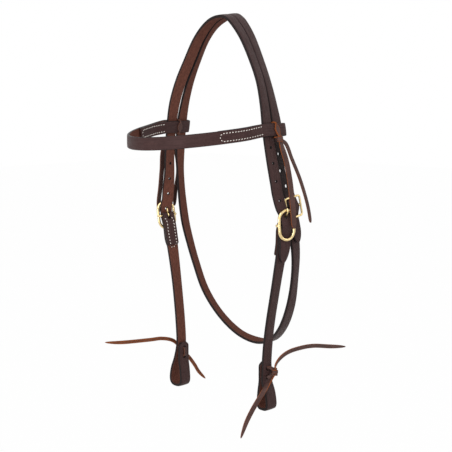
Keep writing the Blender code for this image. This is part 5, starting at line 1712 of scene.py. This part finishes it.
def studio_camera():
    """Camera at the photograph's viewing angle, from the front on the near side."""
    lens = bpy.data.cameras.new("camera")
    lens.sensor_width = SENSOR_WIDTH
    lens.lens = FOCAL_LENGTH
    camera = bpy.data.objects.new("camera", lens)
    bpy.context.scene.collection.objects.link(camera)
    aim(camera, round_object(*CAMERA_VIEW, CAMERA_TARGET), CAMERA_TARGET)
    bpy.context.scene.camera = camera


# ---------------------------------------------------------------- operators

def panel_values(context):
    """Sizes and colours as set in the panel."""
    return context.scene.headstall_sizes, context.scene.headstall_colours


class HEADSTALL_OT_crown(bpy.types.Operator):
    """Build the crown strap"""
    bl_idname = "headstall.crown"
    bl_label = "Crown strap"

    def execute(self, context):
        crown_strap(*panel_values(context))
        return {"FINISHED"}


class HEADSTALL_OT_throat(bpy.types.Operator):
    """Build the throat strap"""
    bl_idname = "headstall.throat"
    bl_label = "Throat strap"

    def execute(self, context):
        throat_strap(*panel_values(context))
        return {"FINISHED"}


class HEADSTALL_OT_browband(bpy.types.Operator):
    """Build the browband"""
    bl_idname = "headstall.browband"
    bl_label = "Browband"

    def execute(self, context):
        browband(*panel_values(context))
        return {"FINISHED"}


class HEADSTALL_OT_cheeks(bpy.types.Operator):
    """Build both cheek straps"""
    bl_idname = "headstall.cheeks"
    bl_label = "Cheek straps"

    def execute(self, context):
        for side in SIDES:
            cheek_strap(*panel_values(context), side)
        return {"FINISHED"}


class HEADSTALL_OT_buckles(bpy.types.Operator):
    """Build the three buckles with their tongues"""
    bl_idname = "headstall.buckles"
    bl_label = "Buckles"

    def execute(self, context):
        size, colours = panel_values(context)
        for side in SIDES:
            buckle, node = oval_buckle(size, side), side + "_cheek_buckle_"
            buckle_frame(colours, buckle, side + "_oval_frame", node + "frame")
            buckle_tongue(size, colours, buckle, side + "_oval_tongue", node + "tongue",
                          side + "_cheek_tongue")
        buckle = square_buckle(size)
        buckle_frame(colours, buckle, "throat_square_frame", "throat_buckle_frame")
        buckle_tongue(size, colours, buckle, "throat_square_tongue", "throat_buckle_tongue",
                      "throat_tongue")
        return {"FINISHED"}


class HEADSTALL_OT_strings(bpy.types.Operator):
    """Build the browband strings and the bit laces"""
    bl_idname = "headstall.strings"
    bl_label = "Strings and laces"

    def execute(self, context):
        for side in SIDES:
            brow_string(*panel_values(context), side)
            bit_lace(*panel_values(context), side)
        return {"FINISHED"}


class HEADSTALL_OT_stitching(bpy.types.Operator):
    """Build the stitching of the browband and of the chapes"""
    bl_idname = "headstall.stitching"
    bl_label = "Stitching"

    def execute(self, context):
        for side in SIDES:
            brow_stitching(*panel_values(context), side)
        for side in ("near", "far", "throat"):
            chape_stitching(*panel_values(context), side)
        return {"FINISHED"}


class HEADSTALL_OT_stage(bpy.types.Operator):
    """Set up the floor, the lights and the camera"""
    bl_idname = "headstall.stage"
    bl_label = "Stage"

    def execute(self, context):
        stage_floor(context.scene.headstall_colours)
        studio_world()
        for name, lamp in LAMPS.items():
            area_light(name, *lamp)
        studio_camera()
        context.scene.view_settings.view_transform = "Standard"
        return {"FINISHED"}


OPERATORS = (HEADSTALL_OT_crown, HEADSTALL_OT_throat, HEADSTALL_OT_browband, HEADSTALL_OT_cheeks,
             HEADSTALL_OT_buckles, HEADSTALL_OT_strings, HEADSTALL_OT_stitching, HEADSTALL_OT_stage)


class HEADSTALL_PT_panel(bpy.types.Panel):
    """Sizes, colours and pieces of the headstall"""
    bl_idname = "HEADSTALL_PT_panel"
    bl_label = "Western headstall"
    bl_space_type = "VIEW_3D"
    bl_region_type = "UI"
    bl_category = "Headstall"

    def draw(self, context):
        for title, group in zip(("Sizes", "Colours"), panel_values(context)):
            box = self.layout.box()
            box.label(text=title)
            for key in group.__annotations__:
                box.prop(group, key)
        for operator in OPERATORS:
            self.layout.operator(operator.bl_idname)


CLASSES = (HeadstallSizes, HeadstallColours, *OPERATORS, HEADSTALL_PT_panel)


def register():
    """Adds the classes and the two groups of settings."""
    for item in CLASSES:
        bpy.utils.register_class(item)
    bpy.types.Scene.headstall_sizes = bpy.props.PointerProperty(type=HeadstallSizes)
    bpy.types.Scene.headstall_colours = bpy.props.PointerProperty(type=HeadstallColours)


def unregister():
    """Takes them away again."""
    del bpy.types.Scene.headstall_sizes
    del bpy.types.Scene.headstall_colours
    for item in reversed(CLASSES):
        bpy.utils.unregister_class(item)


def main():
    """Builds every piece in order."""
    register()
    bpy.ops.headstall.crown()
    bpy.ops.headstall.throat()
    bpy.ops.headstall.browband()
    bpy.ops.headstall.cheeks()
    bpy.ops.headstall.buckles()
    bpy.ops.headstall.strings()
    bpy.ops.headstall.stitching()
    bpy.ops.headstall.stage()


if __name__ == "__main__":
    main()
